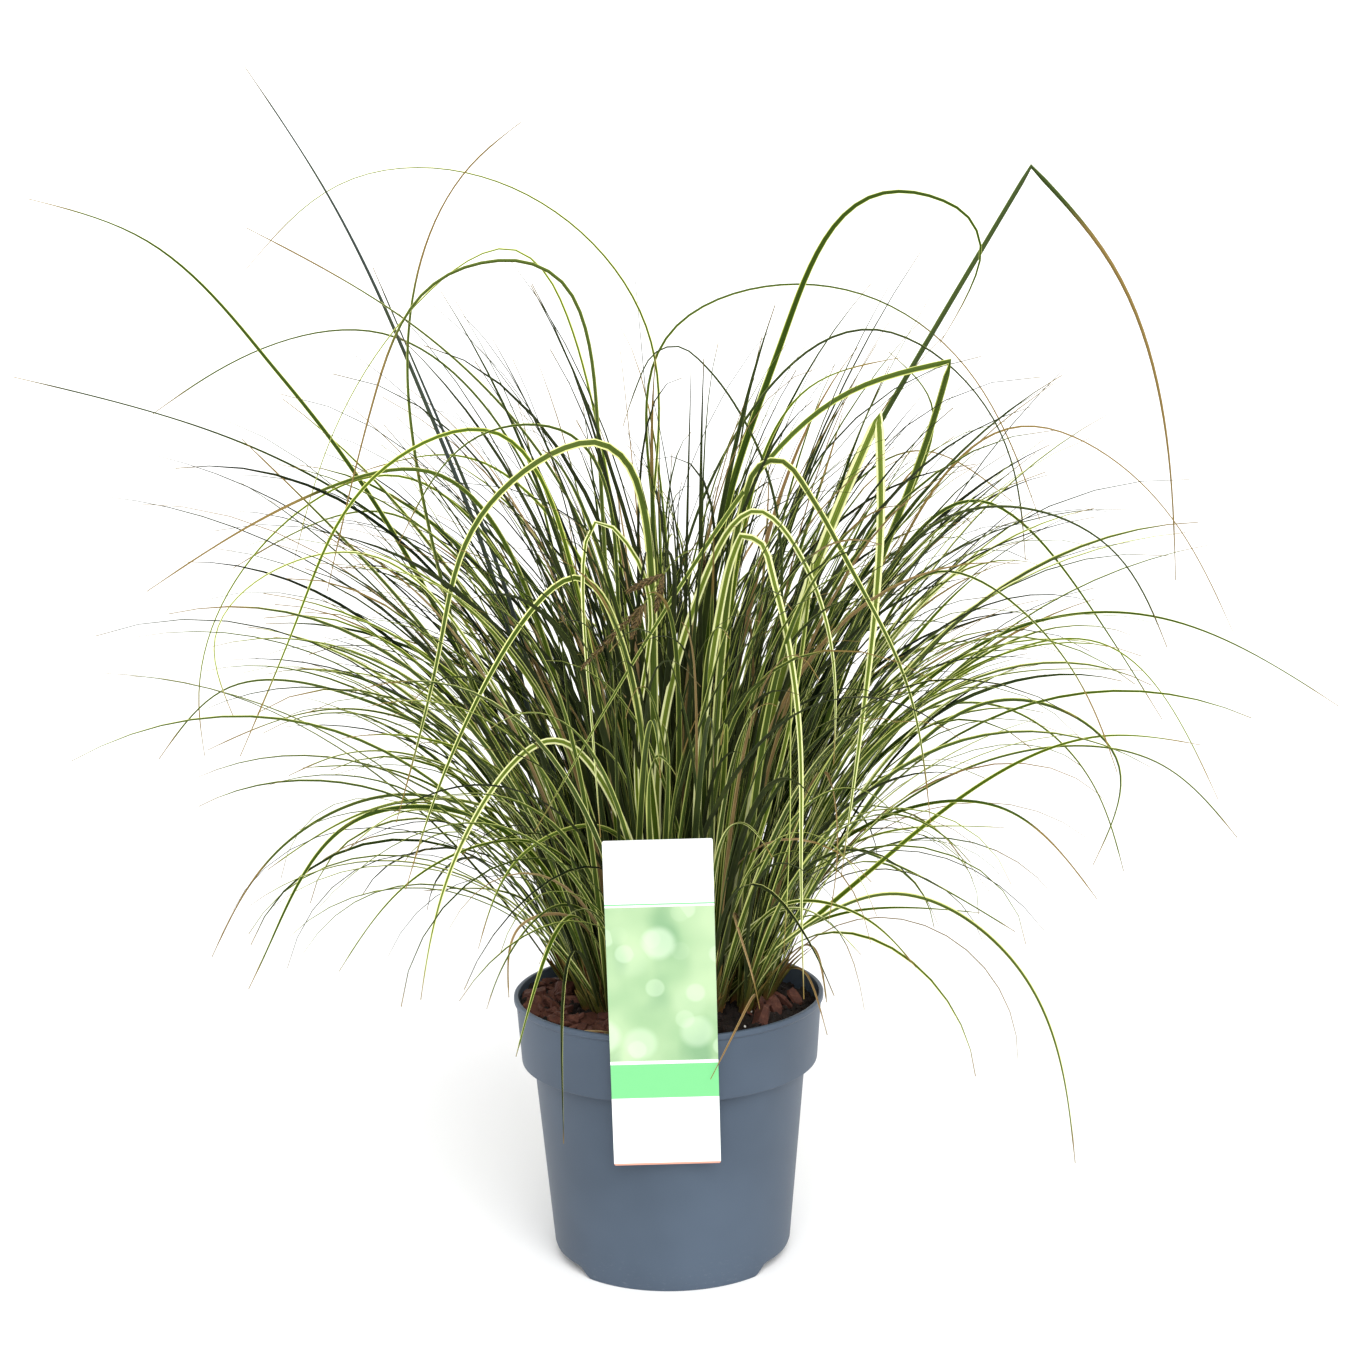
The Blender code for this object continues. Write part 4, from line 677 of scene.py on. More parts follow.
def choose_tuft(places, aim, free):
    """The tuft on the side of the crown that a long leaf heads for, and not yet crowded."""
    offset = crown_offset(aim[:2])
    reach = np.hypot(*offset)
    offset = offset * min(1.0, OUTERMOST_TUFT / max(reach, 1e-6))
    target = np.array(CROWN_CENTRE) + offset * (CROWN_HALF_WIDTH, CROWN_HALF_DEPTH)
    burden = np.array([LEAVES_PER_TUFT - len(slots) for slots in free])
    cost = np.hypot(*(places - target).T) + CROWDING_COST * burden**2
    return int(np.argmin(cost))


def tuft_axis(place):
    """Points up the middle of a tuft's crown, from the bottom of its hole."""
    heights = np.array([-HOLE_DEPTH, ROOT_RISE, TUFT_RISE])
    shift = np.outer(np.maximum(heights - ROOT_RISE, 0.0), tuft_lean(place))
    return np.column_stack([place + shift, SOIL_TOP + heights])


def place_long_leaf(thicket, place, tuft, slot, width, fold, points, dry, number):
    """Tries a listed leaf, then the same leaf nudged a little further each time."""
    chance = np.random.default_rng([SEED, number])
    radii = leaf_widths(width)
    root = leaf_root(place, tuft, slot)
    for attempt in range(LONG_TRIES):
        reach = min(NUDGE_STEP * attempt, MOST_NUDGE)
        nudge = chance.uniform(-1, 1, (len(points), 3)) * NUDGE_SHARES * reach
        line = long_leaf_line(root, points + nudge, fold)
        if fits(thicket, line, radii, tuft):
            return remember(thicket, line, radii, tuft, slot, chance, dry, number)
    return None


def place_arching_leaf(thicket, place, tuft, slot):
    """Tries random arching leaves from one slot of a tuft until one is clear of the rest."""
    chance = np.random.default_rng([SEED, tuft, slot])
    lean = tuft_lean(place)
    edge = edge_share(place)
    root = leaf_root(place, tuft, slot)
    for _ in range(ARCH_TRIES):
        spread = math.tan(math.radians(chance.uniform(*ARCH_SPREAD)))
        way = lean + slot_way(tuft, slot) * spread + chance.normal(0, ARCH_WAY_SCATTER, 2)
        start = math.atan(float(np.hypot(*way)))
        azimuth = math.atan2(way[1], way[0]) + chance.normal(0, ARCH_HEADING_SCATTER)
        length = chance.uniform(*ARCH_LENGTH) * (1.0 - EDGE_SHORTER * edge)
        bend = math.radians(chance.uniform(*ARCH_BEND) + EDGE_BEND * edge)
        drift = chance.normal(0, ARCH_DRIFT)
        width = chance.uniform(*ARCH_WIDTH)
        power = chance.uniform(*ARCH_POWER)
        radii = leaf_widths(width)
        line = arching_line(root, start, azimuth, length, bend, power, drift)
        if fits(thicket, line, radii, tuft):
            return remember(thicket, line, radii, tuft, slot, chance, chance.random() < DRY_SHARE)
    return None


def fits(thicket, line, radii, tuft):
    """Whether a leaf's solid is clear of the pot, the label and the other tufts."""
    chosen = stations(line)
    return misses_pot(line[chosen]) and thicket.is_clear(line[chosen], radii[chosen], tuft)


def remember(thicket, line, radii, tuft, slot, chance, dry, row=None):
    """Records a leaf and gives it a twist."""
    chosen = stations(line)
    thicket.add(line[chosen], radii[chosen], tuft)
    twist = math.radians(chance.uniform(-MOST_TWIST, MOST_TWIST))
    way = slot_way(tuft, slot)
    return {"line": line, "half": radii, "tuft": tuft, "way": way, "twist": twist, "dry": dry, "row": row}


def squared(vectors, along):
    """Unit vectors at right angles to a leaf's run, nearest to the given ones."""
    return unit(vectors - along * (vectors * along).sum(axis=-1, keepdims=True))


def leaf_frames(lines, ways, twists):
    """Directions across and out of the upper face, at every point of every leaf.

    At its root a leaf wraps a little round its tuft. Its upper face looks out of the bend that
    it mostly follows, is carried along without spinning, and is turned by the leaf's twist.
    """
    along = unit(np.gradient(lines, axis=1))
    hinge = np.cross([0.0, 0.0, 1.0], unit(lines[:, -1] - lines[:, 0]))
    hinge = hinge * STRAIGHT_SHARE + np.cross(along[:, :-1], along[:, 1:]).sum(axis=1)
    face = np.zeros_like(lines)
    face[:, 0] = squared(np.cross(along[:, 0], hinge), along[:, 0])
    for i in range(1, lines.shape[1]):
        before, after = along[:, i - 1], along[:, i]
        cosine = (before * after).sum(axis=1, keepdims=True)
        tipped = (face[:, i - 1] * after).sum(axis=1, keepdims=True) / (1 + cosine)
        face[:, i] = squared(face[:, i - 1] - tipped * (before + after), after)
    wrapped = np.column_stack([ways, np.zeros(len(ways))])
    wrapped *= np.where((wrapped * face[:, 0]).sum(axis=1) < 0, -1.0, 1.0)[:, None]
    share = np.linspace(0, 1, lines.shape[1])[None, :, None]
    blend = smooth_step(share / WRAP_SHARE)
    face = squared(wrapped[:, None] * WRAP_AMOUNT * (1 - blend) + face, along)
    across = np.cross(along, face)
    turn = twists[:, None, None] * smooth_step(share)
    return across * np.cos(turn) + face * np.sin(turn), face * np.cos(turn) - across * np.sin(turn)


def flower_line(place):
    """The line of the flower stem, from the soil to its drooping end."""
    return through([(*place, SOIL_TOP), *(np.array(FLOWER_LINE) / 100)], STEM_STEPS)


def grow_leaves(places, flower_place):
    """Every leaf of the clump, in the order and with the chances of the solids, and their thicket."""
    thicket = Thicket()
    stem = flower_line(flower_place)
    room = np.where(np.arange(len(stem)) < FIRST_SPIKELET * STEM_STEPS, STEM_ROOM, SPIKELET_ROOM)
    thicket.add(stem, room, -1)
    for tuft, place in enumerate(places):
        thicket.add(tuft_axis(place), np.full(3, TUFT_TOP_RADIUS), tuft)
    leaves = []
    free = [list(range(LEAVES_PER_TUFT)) for _ in places]
    for number, (width, fold, points) in enumerate(LONG_LEAVES):
        points = np.array(points) / 100
        dry = number >= len(LONG_LEAVES) - DRY_LONG_LEAVES
        tuft = choose_tuft(places, points[0], free)
        heading = points[0, :2] - places[tuft]
        slot = max(free[tuft], key=lambda each: float(slot_way(tuft, each) @ heading))
        leaf = place_long_leaf(thicket, places[tuft], tuft, slot, width / 1000, fold, points, dry, number)
        if leaf:
            free[tuft].remove(slot)
            leaves.append(leaf)
    for tuft, place in enumerate(places):
        for slot in free[tuft]:
            leaf = place_arching_leaf(thicket, place, tuft, slot)
            if leaf:
                leaves.append(leaf)
    return leaves, thicket


# Finer build than the solids
POT_SEGMENTS = 180
SOIL_SEGMENTS = 200
SOIL_ROWS = 70
POLE_RADIUS = 0.002
CORNER_STEPS = 4
HOLE_SIDES = 28
HOLE_CLEARANCE = 0.002
LEAF_DEPTH_IN_SOIL = 0.004
LONG_STEPS = 72
ARCH_STEPS = 24
LEAST_HALF_WIDTH = 0.00024
LEAF_SHARP_ANGLE = 50

# How far each corner of the pot's profile is rounded, in millimetres
POT_ROUNDING = (0.8, 0.5, 0.5, 2.0, 0.9, 0.9, 0.5, 0.5, 0.9, 0.6, 0.4, 0.4, 0.8)

# Lumps of the soil: waves in each size, their length and their height
GROUND_LUMPS = ((7, 0.016, 0.0011), (9, 0.006, 0.0008), (12, 0.0028, 0.0004))
GROUND_GAIN = 1.5
GROUND_STRETCH = (0.8, 1.25)

# The soil's highest point above the rim, and the radius from which that limit slopes down
GROUND_LIMIT = 0.004
GROUND_EDGE = 0.083

# Crumbs and bark: how far out they lie, and their least half size, the most that is added to it
# and the power of the draw, which makes small ones commoner
CRUMB_REACH = 0.0895
CRUMB_SIZE = (0.0005, 0.0014, 2.2)
CRUMB_LIFT = (0, 0, 0.0002)
CRUMB_ROUGHNESS = 0.22
BARK_REACH = 0.086
BARK_SIZE = (0.0032, 0.0068, 1.6)
BARK_WIDTH = (0.4, 0.75)
BARK_THICKNESS = (0.16, 0.4)
BARK_TIP = 0.24
BARK_ROUGHNESS = 0.18
BARK_LIFT = (0, 0, 0.0018)
BARK_HEAP_ANGLE = 3.5
BARK_HEAP_SPREAD = 0.95

# Perlite: how far out it lies, and the least and most half size of a grain
PERLITE_REACH = 0.088
PERLITE_SIZE = (0.0004, 0.0010)
PERLITE_LIFT = (0, 0, 0.0004)
PERLITE_ROUGHNESS = 0.15

# Finishes of the plant, one per lengthwise strip of its map: body colour, margin colour, and the shares of
# the width that is margin, of the length that is base (which also sets how far up the leaf the painted shade
# reaches) and of the length that is tip
FINISHES = (
    ((0.028, 0.056, 0.003), (0.54, 0.59, 0.16), 0.25, 0.07, 0.05),
    ((0.044, 0.080, 0.004), (0.62, 0.66, 0.20), 0.29, 0.09, 0.03),
    ((0.068, 0.114, 0.006), (0.58, 0.62, 0.16), 0.33, 0.08, 0.08),
    ((0.010, 0.022, 0.003), (0.24, 0.28, 0.08), 0.17, 0.06, 0.04),
    ((0.032, 0.060, 0.006), (0.70, 0.72, 0.28), 0.30, 0.10, 0.12),
    ((0.092, 0.144, 0.008), (0.68, 0.71, 0.24), 0.40, 0.08, 0.05),
    # Near-black: painted shade among the leaves
    ((0.005, 0.010, 0.003), (0.08, 0.10, 0.04), 0.14, 0.06, 0.03),
    ((0.030, 0.058, 0.004), (0.44, 0.48, 0.12), 0.27, 0.12, 0.20),
    ((0.052, 0.088, 0.006), (0.74, 0.76, 0.30), 0.36, 0.07, 0.06),
    # Grey-blue: painted sheen, as of gloss catching the light
    ((0.034, 0.044, 0.040), (0.14, 0.17, 0.14), 0.16, 0.06, 0.03),
    ((0.220, 0.135, 0.055), (0.38, 0.27, 0.12), 0.25, 0.10, 0.10),
    ((0.300, 0.200, 0.095), (0.46, 0.34, 0.17), 0.30, 0.12, 0.20),
    ((0.110, 0.038, 0.014), (0.26, 0.13, 0.05), 0.20, 0.35, 0.25),
    ((0.150, 0.125, 0.026), (0.32, 0.25, 0.09), 0.25, 0.40, 0.20),
    ((0.110, 0.140, 0.024), (0.26, 0.28, 0.09), 0.20, 0.05, 0.05),
    ((0.060, 0.030, 0.018), (0.24, 0.14, 0.07), 0.24, 0.10, 0.10),
    ((0.022, 0.044, 0.006), (0.18, 0.23, 0.06), 0.18, 0.06, 0.29),
    ((0.050, 0.082, 0.006), (0.46, 0.48, 0.17), 0.28, 0.08, 0.20),
    # Near-black: painted shade among the leaves
    ((0.003, 0.007, 0.002), (0.035, 0.05, 0.025), 0.12, 0.06, 0.03),
    ((0.120, 0.172, 0.014), (0.80, 0.82, 0.40), 0.50, 0.08, 0.04),
    ((0.050, 0.070, 0.010), (0.26, 0.26, 0.09), 0.22, 0.06, 0.50),
)
LEAF_CLASSES = len(FINISHES)
EDGE_OF_CLASS = 0.02

# Which finishes each kind of leaf draws from
LEAF_FINISHES = (0, 0, 1, 1, 2, 3, 4, 5, 0, 7, 8, 19)
# Finishes 6 and 18 are near-black: painted shade among the thin leaves
FINE_FINISHES = (0, 0, 1, 1, 2, 3, 3, 6, 4, 5, 7, 8, 6, 18)
# Inner tufts draw mostly near-black finishes: painted shade in the middle of the clump
INNER_SHADE_FINISHES = (0, 3, 3, 6, 6, 18, 18, 18, 18, 7)
DRY_FINISHES = (10, 11)
SHEATH_FINISHES = (12, 13, 13, 12, 13, 11)
STEM_FINISH = 14
SCALE_FINISH = 15

# Long leaves whose colour differs from the rest: number in the list, then finish. Finish 9, on leaves 2 and
# 3, is a painted sheen.
MARKED_LEAVES = {
    0: 0, 2: 9, 3: 9, 4: 17, 5: 17, 8: 17, 29: 19, 30: 8, 31: 8, 36: 0, 38: 1, 39: 3,
    40: 1, 41: 19, 42: 16, 44: 17, 50: 20, 63: 8, 64: 19, 65: 19, 66: 5,
}

# How many times as wide as its solid a leaf is drawn: by rule, long, and long with this number
RULE_LEAF_WIDER = 1.32
LONG_LEAF_WIDER = 1.0
WIDER_LEAVES = {
    0: 0.9, 2: 0.95, 3: 0.95, 29: 1.3, 30: 1.3, 31: 1.3, 36: 1.5, 41: 1.5, 42: 0.95, 63: 1.3,
    64: 1.3, 65: 1.3,
}

# Least half width of a long leaf, down to nothing over this share of its length at the tip
LONG_TIP_HALF_WIDTH = 0.00048
LONG_TIP_SHARE = 0.04

# How far the long leaves turn their upper side to the front
FRONT = (0.0, -0.95, 0.31)
FRONT_SHARE = 0.55
FULL_FRONT_SHARE = 0.92
FULL_FRONT_LEAVES = (29, 30, 31, 40, 41, 63, 64, 65)

# What every colour property has in common
COLOUR = {"subtype": "COLOR", "size": 3}


class SedgeSizes(bpy.types.PropertyGroup):
    """Sizes of the finer pieces."""

    trough: bpy.props.FloatProperty(
        name="Leaf fold",
        description="Lift of a leaf's margins as a share of its half width",
        default=0.30,
        min=0,
    )
    keel: bpy.props.FloatProperty(
        name="Leaf keel",
        description="Thickness along a leaf's middle",
        default=0.00032,
        unit="LENGTH",
        precision=5,
    )
    fine_leaves: bpy.props.IntProperty(
        name="Fine leaves",
        description="How many thin leaves are tried; those that pass the others stay",
        default=1180,
        min=0,
    )
    sheath_height: bpy.props.FloatProperty(
        name="Sheath height", description="Length of the longest sheath", default=0.046, unit="LENGTH"
    )
    chips: bpy.props.IntProperty(
        name="Bark chips", description="How many chips lie on the soil", default=150, min=1
    )
    crumbs: bpy.props.IntProperty(
        name="Peat crumbs", description="How many crumbs lie on the soil", default=1500, min=1
    )
    perlite: bpy.props.IntProperty(
        name="Perlite grains", description="How many pale grains lie on the soil", default=34, min=1
    )


class SedgeColours(bpy.types.PropertyGroup):
    """Main colours, as linear red, green and blue."""

    pot: bpy.props.FloatVectorProperty(
        name="Pot", description="Moulded pot plastic", default=(0.060, 0.083, 0.117), **COLOUR
    )
    soil: bpy.props.FloatVectorProperty(
        name="Soil", description="Moist potting soil", default=(0.008, 0.0045, 0.003), **COLOUR
    )
    bark: bpy.props.FloatVectorProperty(
        name="Bark", description="Red-brown bark", default=(0.066, 0.022, 0.013), **COLOUR
    )
    card: bpy.props.FloatVectorProperty(
        name="Card", description="White of the label", default=(0.86, 0.89, 0.87), **COLOUR
    )
    print_green: bpy.props.FloatVectorProperty(
        name="Label green", description="Band of the label", default=(0.165, 0.560, 0.215), **COLOUR
    )
    panel: bpy.props.FloatVectorProperty(
        name="Label panel", description="Field of the label", default=(0.270, 0.440, 0.230), **COLOUR
    )
    leaf_base: bpy.props.FloatVectorProperty(
        name="Leaf base", description="Foot of the leaves", default=(0.130, 0.058, 0.020), **COLOUR
    )
    leaf_tip: bpy.props.FloatVectorProperty(
        name="Leaf tip", description="Dry tips", default=(0.205, 0.140, 0.042), **COLOUR
    )


def sizes():
    """The sizes in use."""
    return bpy.context.scene.sedge_sizes


def colours():
    """The colours in use."""
    return bpy.context.scene.sedge_colours


# Meshes


def new_mesh(name, points, quads=None, triangles=None, corners=None, map_name=None, slots=None):
    """A mesh from whole arrays of points, four-sided and three-sided faces.

    corners holds a place on the named map for every corner, quads first, and slots the number of
    the finish of every face.
    """
    quads = np.zeros((0, 4), np.int32) if quads is None else np.asarray(quads, np.int32)
    triangles = np.zeros((0, 3), np.int32) if triangles is None else np.asarray(triangles, np.int32)
    loops = np.concatenate([quads.ravel(), triangles.ravel()]).astype(np.int32)
    starts = np.concatenate([np.arange(len(quads)) * 4, len(quads) * 4 + np.arange(len(triangles)) * 3])
    mesh = bpy.data.meshes.new(name)
    mesh.vertices.add(len(points))
    mesh.vertices.foreach_set("co", np.asarray(points, np.float32).ravel())
    mesh.loops.add(len(loops))
    mesh.loops.foreach_set("vertex_index", loops)
    mesh.polygons.add(len(starts))
    mesh.polygons.foreach_set("loop_start", starts.astype(np.int32))
    if slots is not None:
        mesh.polygons.foreach_set("material_index", np.asarray(slots, np.int32))
    mesh.update(calc_edges=True)
    if corners is not None:
        layer = mesh.uv_layers.new(name=map_name)
        layer.uv.foreach_set("vector", np.asarray(corners, np.float32).ravel())
    return mesh


def placed(name, data):
    """A new object in the scene, at the origin."""
    made = bpy.data.objects.new(name, data)
    bpy.context.scene.collection.objects.link(made)
    return made


def add_piece(name, mesh, finishes, nodes=(), sharp=None):
    """An object for a finished mesh: it rides on the root body and stands for its solids."""
    for finish in finishes:
        mesh.materials.append(finish)
    if sharp is not None:
        mesh.shade_smooth()
        mesh.set_sharp_from_angle(angle=math.radians(sharp))
    piece = placed(name, mesh)
    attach(piece, "root")
    if nodes:
        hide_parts(*nodes)
    return piece


def turned(profile, sides, bottom, top, lift=None):
    """A profile of (radius, height) carried round the Z axis.

    Row i is the circle radius i at height i. The two ends close in a pole at the heights bottom
    and top. lift adds to every point's height what it gives for its x, y, row and angle.
    """
    profile = np.asarray(profile, float)
    angle = np.arange(sides) * 2 * math.pi / sides
    x = profile[:, :1] * np.cos(angle)
    y = profile[:, :1] * np.sin(angle)
    z = np.repeat(profile[:, 1:], sides, axis=1)
    if lift is not None:
        z = z + lift(x, y, profile, angle)
    rows = len(profile)
    points = np.concatenate([np.stack([x, y, z], axis=-1).reshape(-1, 3), [[0, 0, bottom], [0, 0, top]]])
    row, side = np.meshgrid(np.arange(rows - 1), np.arange(sides), indexing="ij")
    after = (side + 1) % sides
    here, above = row * sides, (row + 1) * sides
    quads = np.stack([here + side, here + after, above + after, above + side], axis=-1)
    side = np.arange(sides)
    after = (side + 1) % sides
    last = (rows - 1) * sides
    foot = np.stack([after, side, np.full(sides, rows * sides)], axis=1)
    head = np.stack([last + side, last + after, np.full(sides, rows * sides + 1)], axis=1)
    return points, quads.reshape(-1, 4), np.concatenate([foot, head])


def rounded(corners, reach):
    """A profile whose inner corners are replaced by short curves.

    Each curve runs from a point a reach before the corner to one a reach after it, as
    (1-t)^2 before + 2t(1-t) corner + t^2 after.
    """
    corners = np.asarray(corners, float)
    reach = np.asarray(reach, float)[:, None]
    middle = corners[1:-1]
    back = corners[:-2] - middle
    ahead = corners[2:] - middle
    before = middle + unit(back) * reach
    after = middle + unit(ahead) * reach
    t = np.linspace(0, 1, CORNER_STEPS)[None, :, None]
    curve = (1 - t) ** 2 * before[:, None] + 2 * t * (1 - t) * middle[:, None] + t**2 * after[:, None]
    return np.concatenate([corners[:1], curve.reshape(-1, 2), corners[-1:]])


def folded_blades(lines, across, face, half, keel, finishes, fold):
    """Many blades at once, each a section of four points carried along its line.

    At a point p of a line, with half width w, the section is the left margin p - across w + face
    w fold, the trough p, the right margin p + across w + face w fold, and the keel p - face k.
    The map's x runs round the section inside the strip of the blade's finish, the upper side
    from 0 to a half and the lower side from a half to 1, and y runs from the root to the tip.
    """
    count, rows = lines.shape[:2]
    width = np.maximum(half, LEAST_HALF_WIDTH)[..., None]
    thick = np.minimum(np.broadcast_to(keel, half.shape), half * 0.5 + 0.00006)[..., None]
    raised = face * width * fold
    ring = [lines - across * width + raised, lines, lines + across * width + raised, lines - face * thick]
    points = np.stack(ring, axis=2)
    base = np.arange(count)[:, None, None] * rows * 4
    row = np.arange(rows - 1)[None, :, None] * 4
    side = np.arange(4)[None, None]
    after = (side + 1) % 4
    first = base + row
    quads = np.stack([first + side, first + after, first + 4 + after, first + 4 + side], axis=-1)
    start = np.arange(count)[:, None] * rows * 4
    end = start + (rows - 1) * 4
    triangles = [start + (0, 3, 1), start + (1, 3, 2), end + (0, 1, 3), end + (1, 2, 3)]
    triangles = np.stack(triangles, axis=1).reshape(-1, 3)
    span = EDGE_OF_CLASS + (1 - 2 * EDGE_OF_CLASS) * np.arange(5) / 4
    strip = np.asarray(finishes, float)[:, None, None]
    low = (strip + span[:4][None, None]) / LEAF_CLASSES + np.zeros((count, rows - 1, 4))
    high = (strip + span[1:][None, None]) / LEAF_CLASSES + np.zeros((count, rows - 1, 4))
    share = 0.005 + 0.99 * np.arange(rows) / (rows - 1)
    here = np.broadcast_to(share[:-1][None, :, None], low.shape)
    there = np.broadcast_to(share[1:][None, :, None], low.shape)
    u = np.stack([low, high, high, low], axis=-1)
    v = np.stack([here, here, there, there], axis=-1)
    corners = np.stack([u, v], axis=-1).reshape(-1, 2)
    ends = np.zeros((count, 4, 3, 2))
    ends[..., 0] = (strip + np.array([[0.1, 0.3, 0.4]])) / LEAF_CLASSES
    ends[:, :2, :, 1] = 0.001, 0.001, 0.004
    ends[:, 2:, :, 1] = 0.999, 0.999, 0.996
    corners = np.concatenate([corners, ends.reshape(-1, 2)])
    return points.reshape(-1, 3), quads.reshape(-1, 4), triangles, corners


def joined(surfaces):
    """Several surfaces as one: the faces of each count on from the points before it."""
    shifts = np.cumsum([0, *(len(surface[0]) for surface in surfaces[:-1])])
    points = np.concatenate([surface[0] for surface in surfaces])
    quads = [surface[1] + shift for surface, shift in zip(surfaces, shifts)]
    triangles = [surface[2] + shift for surface, shift in zip(surfaces, shifts)]
    return points, np.concatenate(quads), np.concatenate(triangles)


def blade_piece(name, groups, nodes=()):
    """One piece from several groups of blades, each as folded_blades gives them."""
    quad_corners = [group[3][: group[1].size] for group in groups]
    end_corners = [group[3][group[1].size :] for group in groups]
    mesh = new_mesh(name, *joined(groups), np.concatenate(quad_corners + end_corners), LEAF_MAP)
    return add_piece(name, mesh, [leaf_finish()], nodes, LEAF_SHARP_ANGLE)


def lumps(base, centres, shapes, chance, roughness):
    """Many small lumps at once: a base shape scaled on three axes, roughened and turned.

    Point j of lump i is centre i + turn i (shape i * (base j + random j)), where turn i is the
    rotation of a random unit quaternion.
    """
    count = len(centres)
    shape = base[None] * (1 + chance.uniform(-roughness, roughness, (count, len(base), 1)))
    shape = shape + chance.uniform(-roughness, roughness, (count, len(base), 3)) * 0.25
    q = unit(chance.normal(size=(count, 4)))
    return turned_by(shape * shapes[:, None], q) + centres[:, None]


def turned_by(shape, q):
    """Points turned by unit quaternions: p + 2 v x (v x p + w p), with q = (w, v)."""
    v = q[:, None, 1:]
    inner = np.cross(v, shape) + q[:, None, :1] * shape
    return shape + 2 * np.cross(v, inner)


def loose_bits(name, points, faces, finish, sharp):
    """One piece of many copies of a shape, lying on the soil: its faces repeated for every copy."""
    count, each = points.shape[:2]
    triangles = (faces[None] + (np.arange(count) * each)[:, None, None]).reshape(-1, 3)
    mesh = new_mesh(name, points.reshape(-1, 3), triangles=triangles)
    return add_piece(name, mesh, [finish], sharp=sharp)


def pebble():
    """A twenty-sided ball: twelve points at the corners of three golden rectangles."""
    g = (1 + math.sqrt(5)) / 2
    points = np.array(
        [
            (-1, g, 0), (1, g, 0), (-1, -g, 0), (1, -g, 0), (0, -1, g), (0, 1, g),
            (0, -1, -g), (0, 1, -g), (g, 0, -1), (g, 0, 1), (-g, 0, -1), (-g, 0, 1),
        ]
    ) / math.sqrt(1 + g * g)
    faces = np.array(
        [
            (0, 11, 5), (0, 5, 1), (0, 1, 7), (0, 7, 10), (0, 10, 11), (1, 5, 9), (5, 11, 4),
            (11, 10, 2), (10, 7, 6), (7, 1, 8), (3, 9, 4), (3, 4, 2), (3, 2, 6), (3, 6, 8),
            (3, 8, 9), (4, 9, 5), (2, 4, 11), (6, 2, 10), (8, 6, 7), (9, 8, 1),
        ]
    )
    return points, faces


def slab():
    """A flat chip: three rings of eight points on a rounded oblong, closed by two middles."""
    angle = (np.arange(8) + 0.5) * math.pi / 4
    rim = np.stack([np.cos(angle), np.sin(angle)], axis=1)
    rim = np.sign(rim) * np.abs(rim) ** 0.6
    levels = ((0.80, -1.0), (1.0, 0.05), (0.86, 1.0))
    rings = [np.column_stack([rim * size, np.full(8, z)]) for size, z in levels]
    points = np.concatenate([*rings, [[0, 0, -1.05], [0, 0, 1.1]]])
    i = np.arange(8)
    j = (i + 1) % 8
    faces = []
    for low in (0, 8):
        faces.append(np.stack([low + i, low + j, low + 8 + j], axis=1))
        faces.append(np.stack([low + i, low + 8 + j, low + 8 + i], axis=1))
    faces.append(np.stack([j, i, np.full(8, 24)], axis=1))
    faces.append(np.stack([16 + i, 16 + j, np.full(8, 25)], axis=1))
    return points, np.concatenate(faces)


# Finishes as node materials


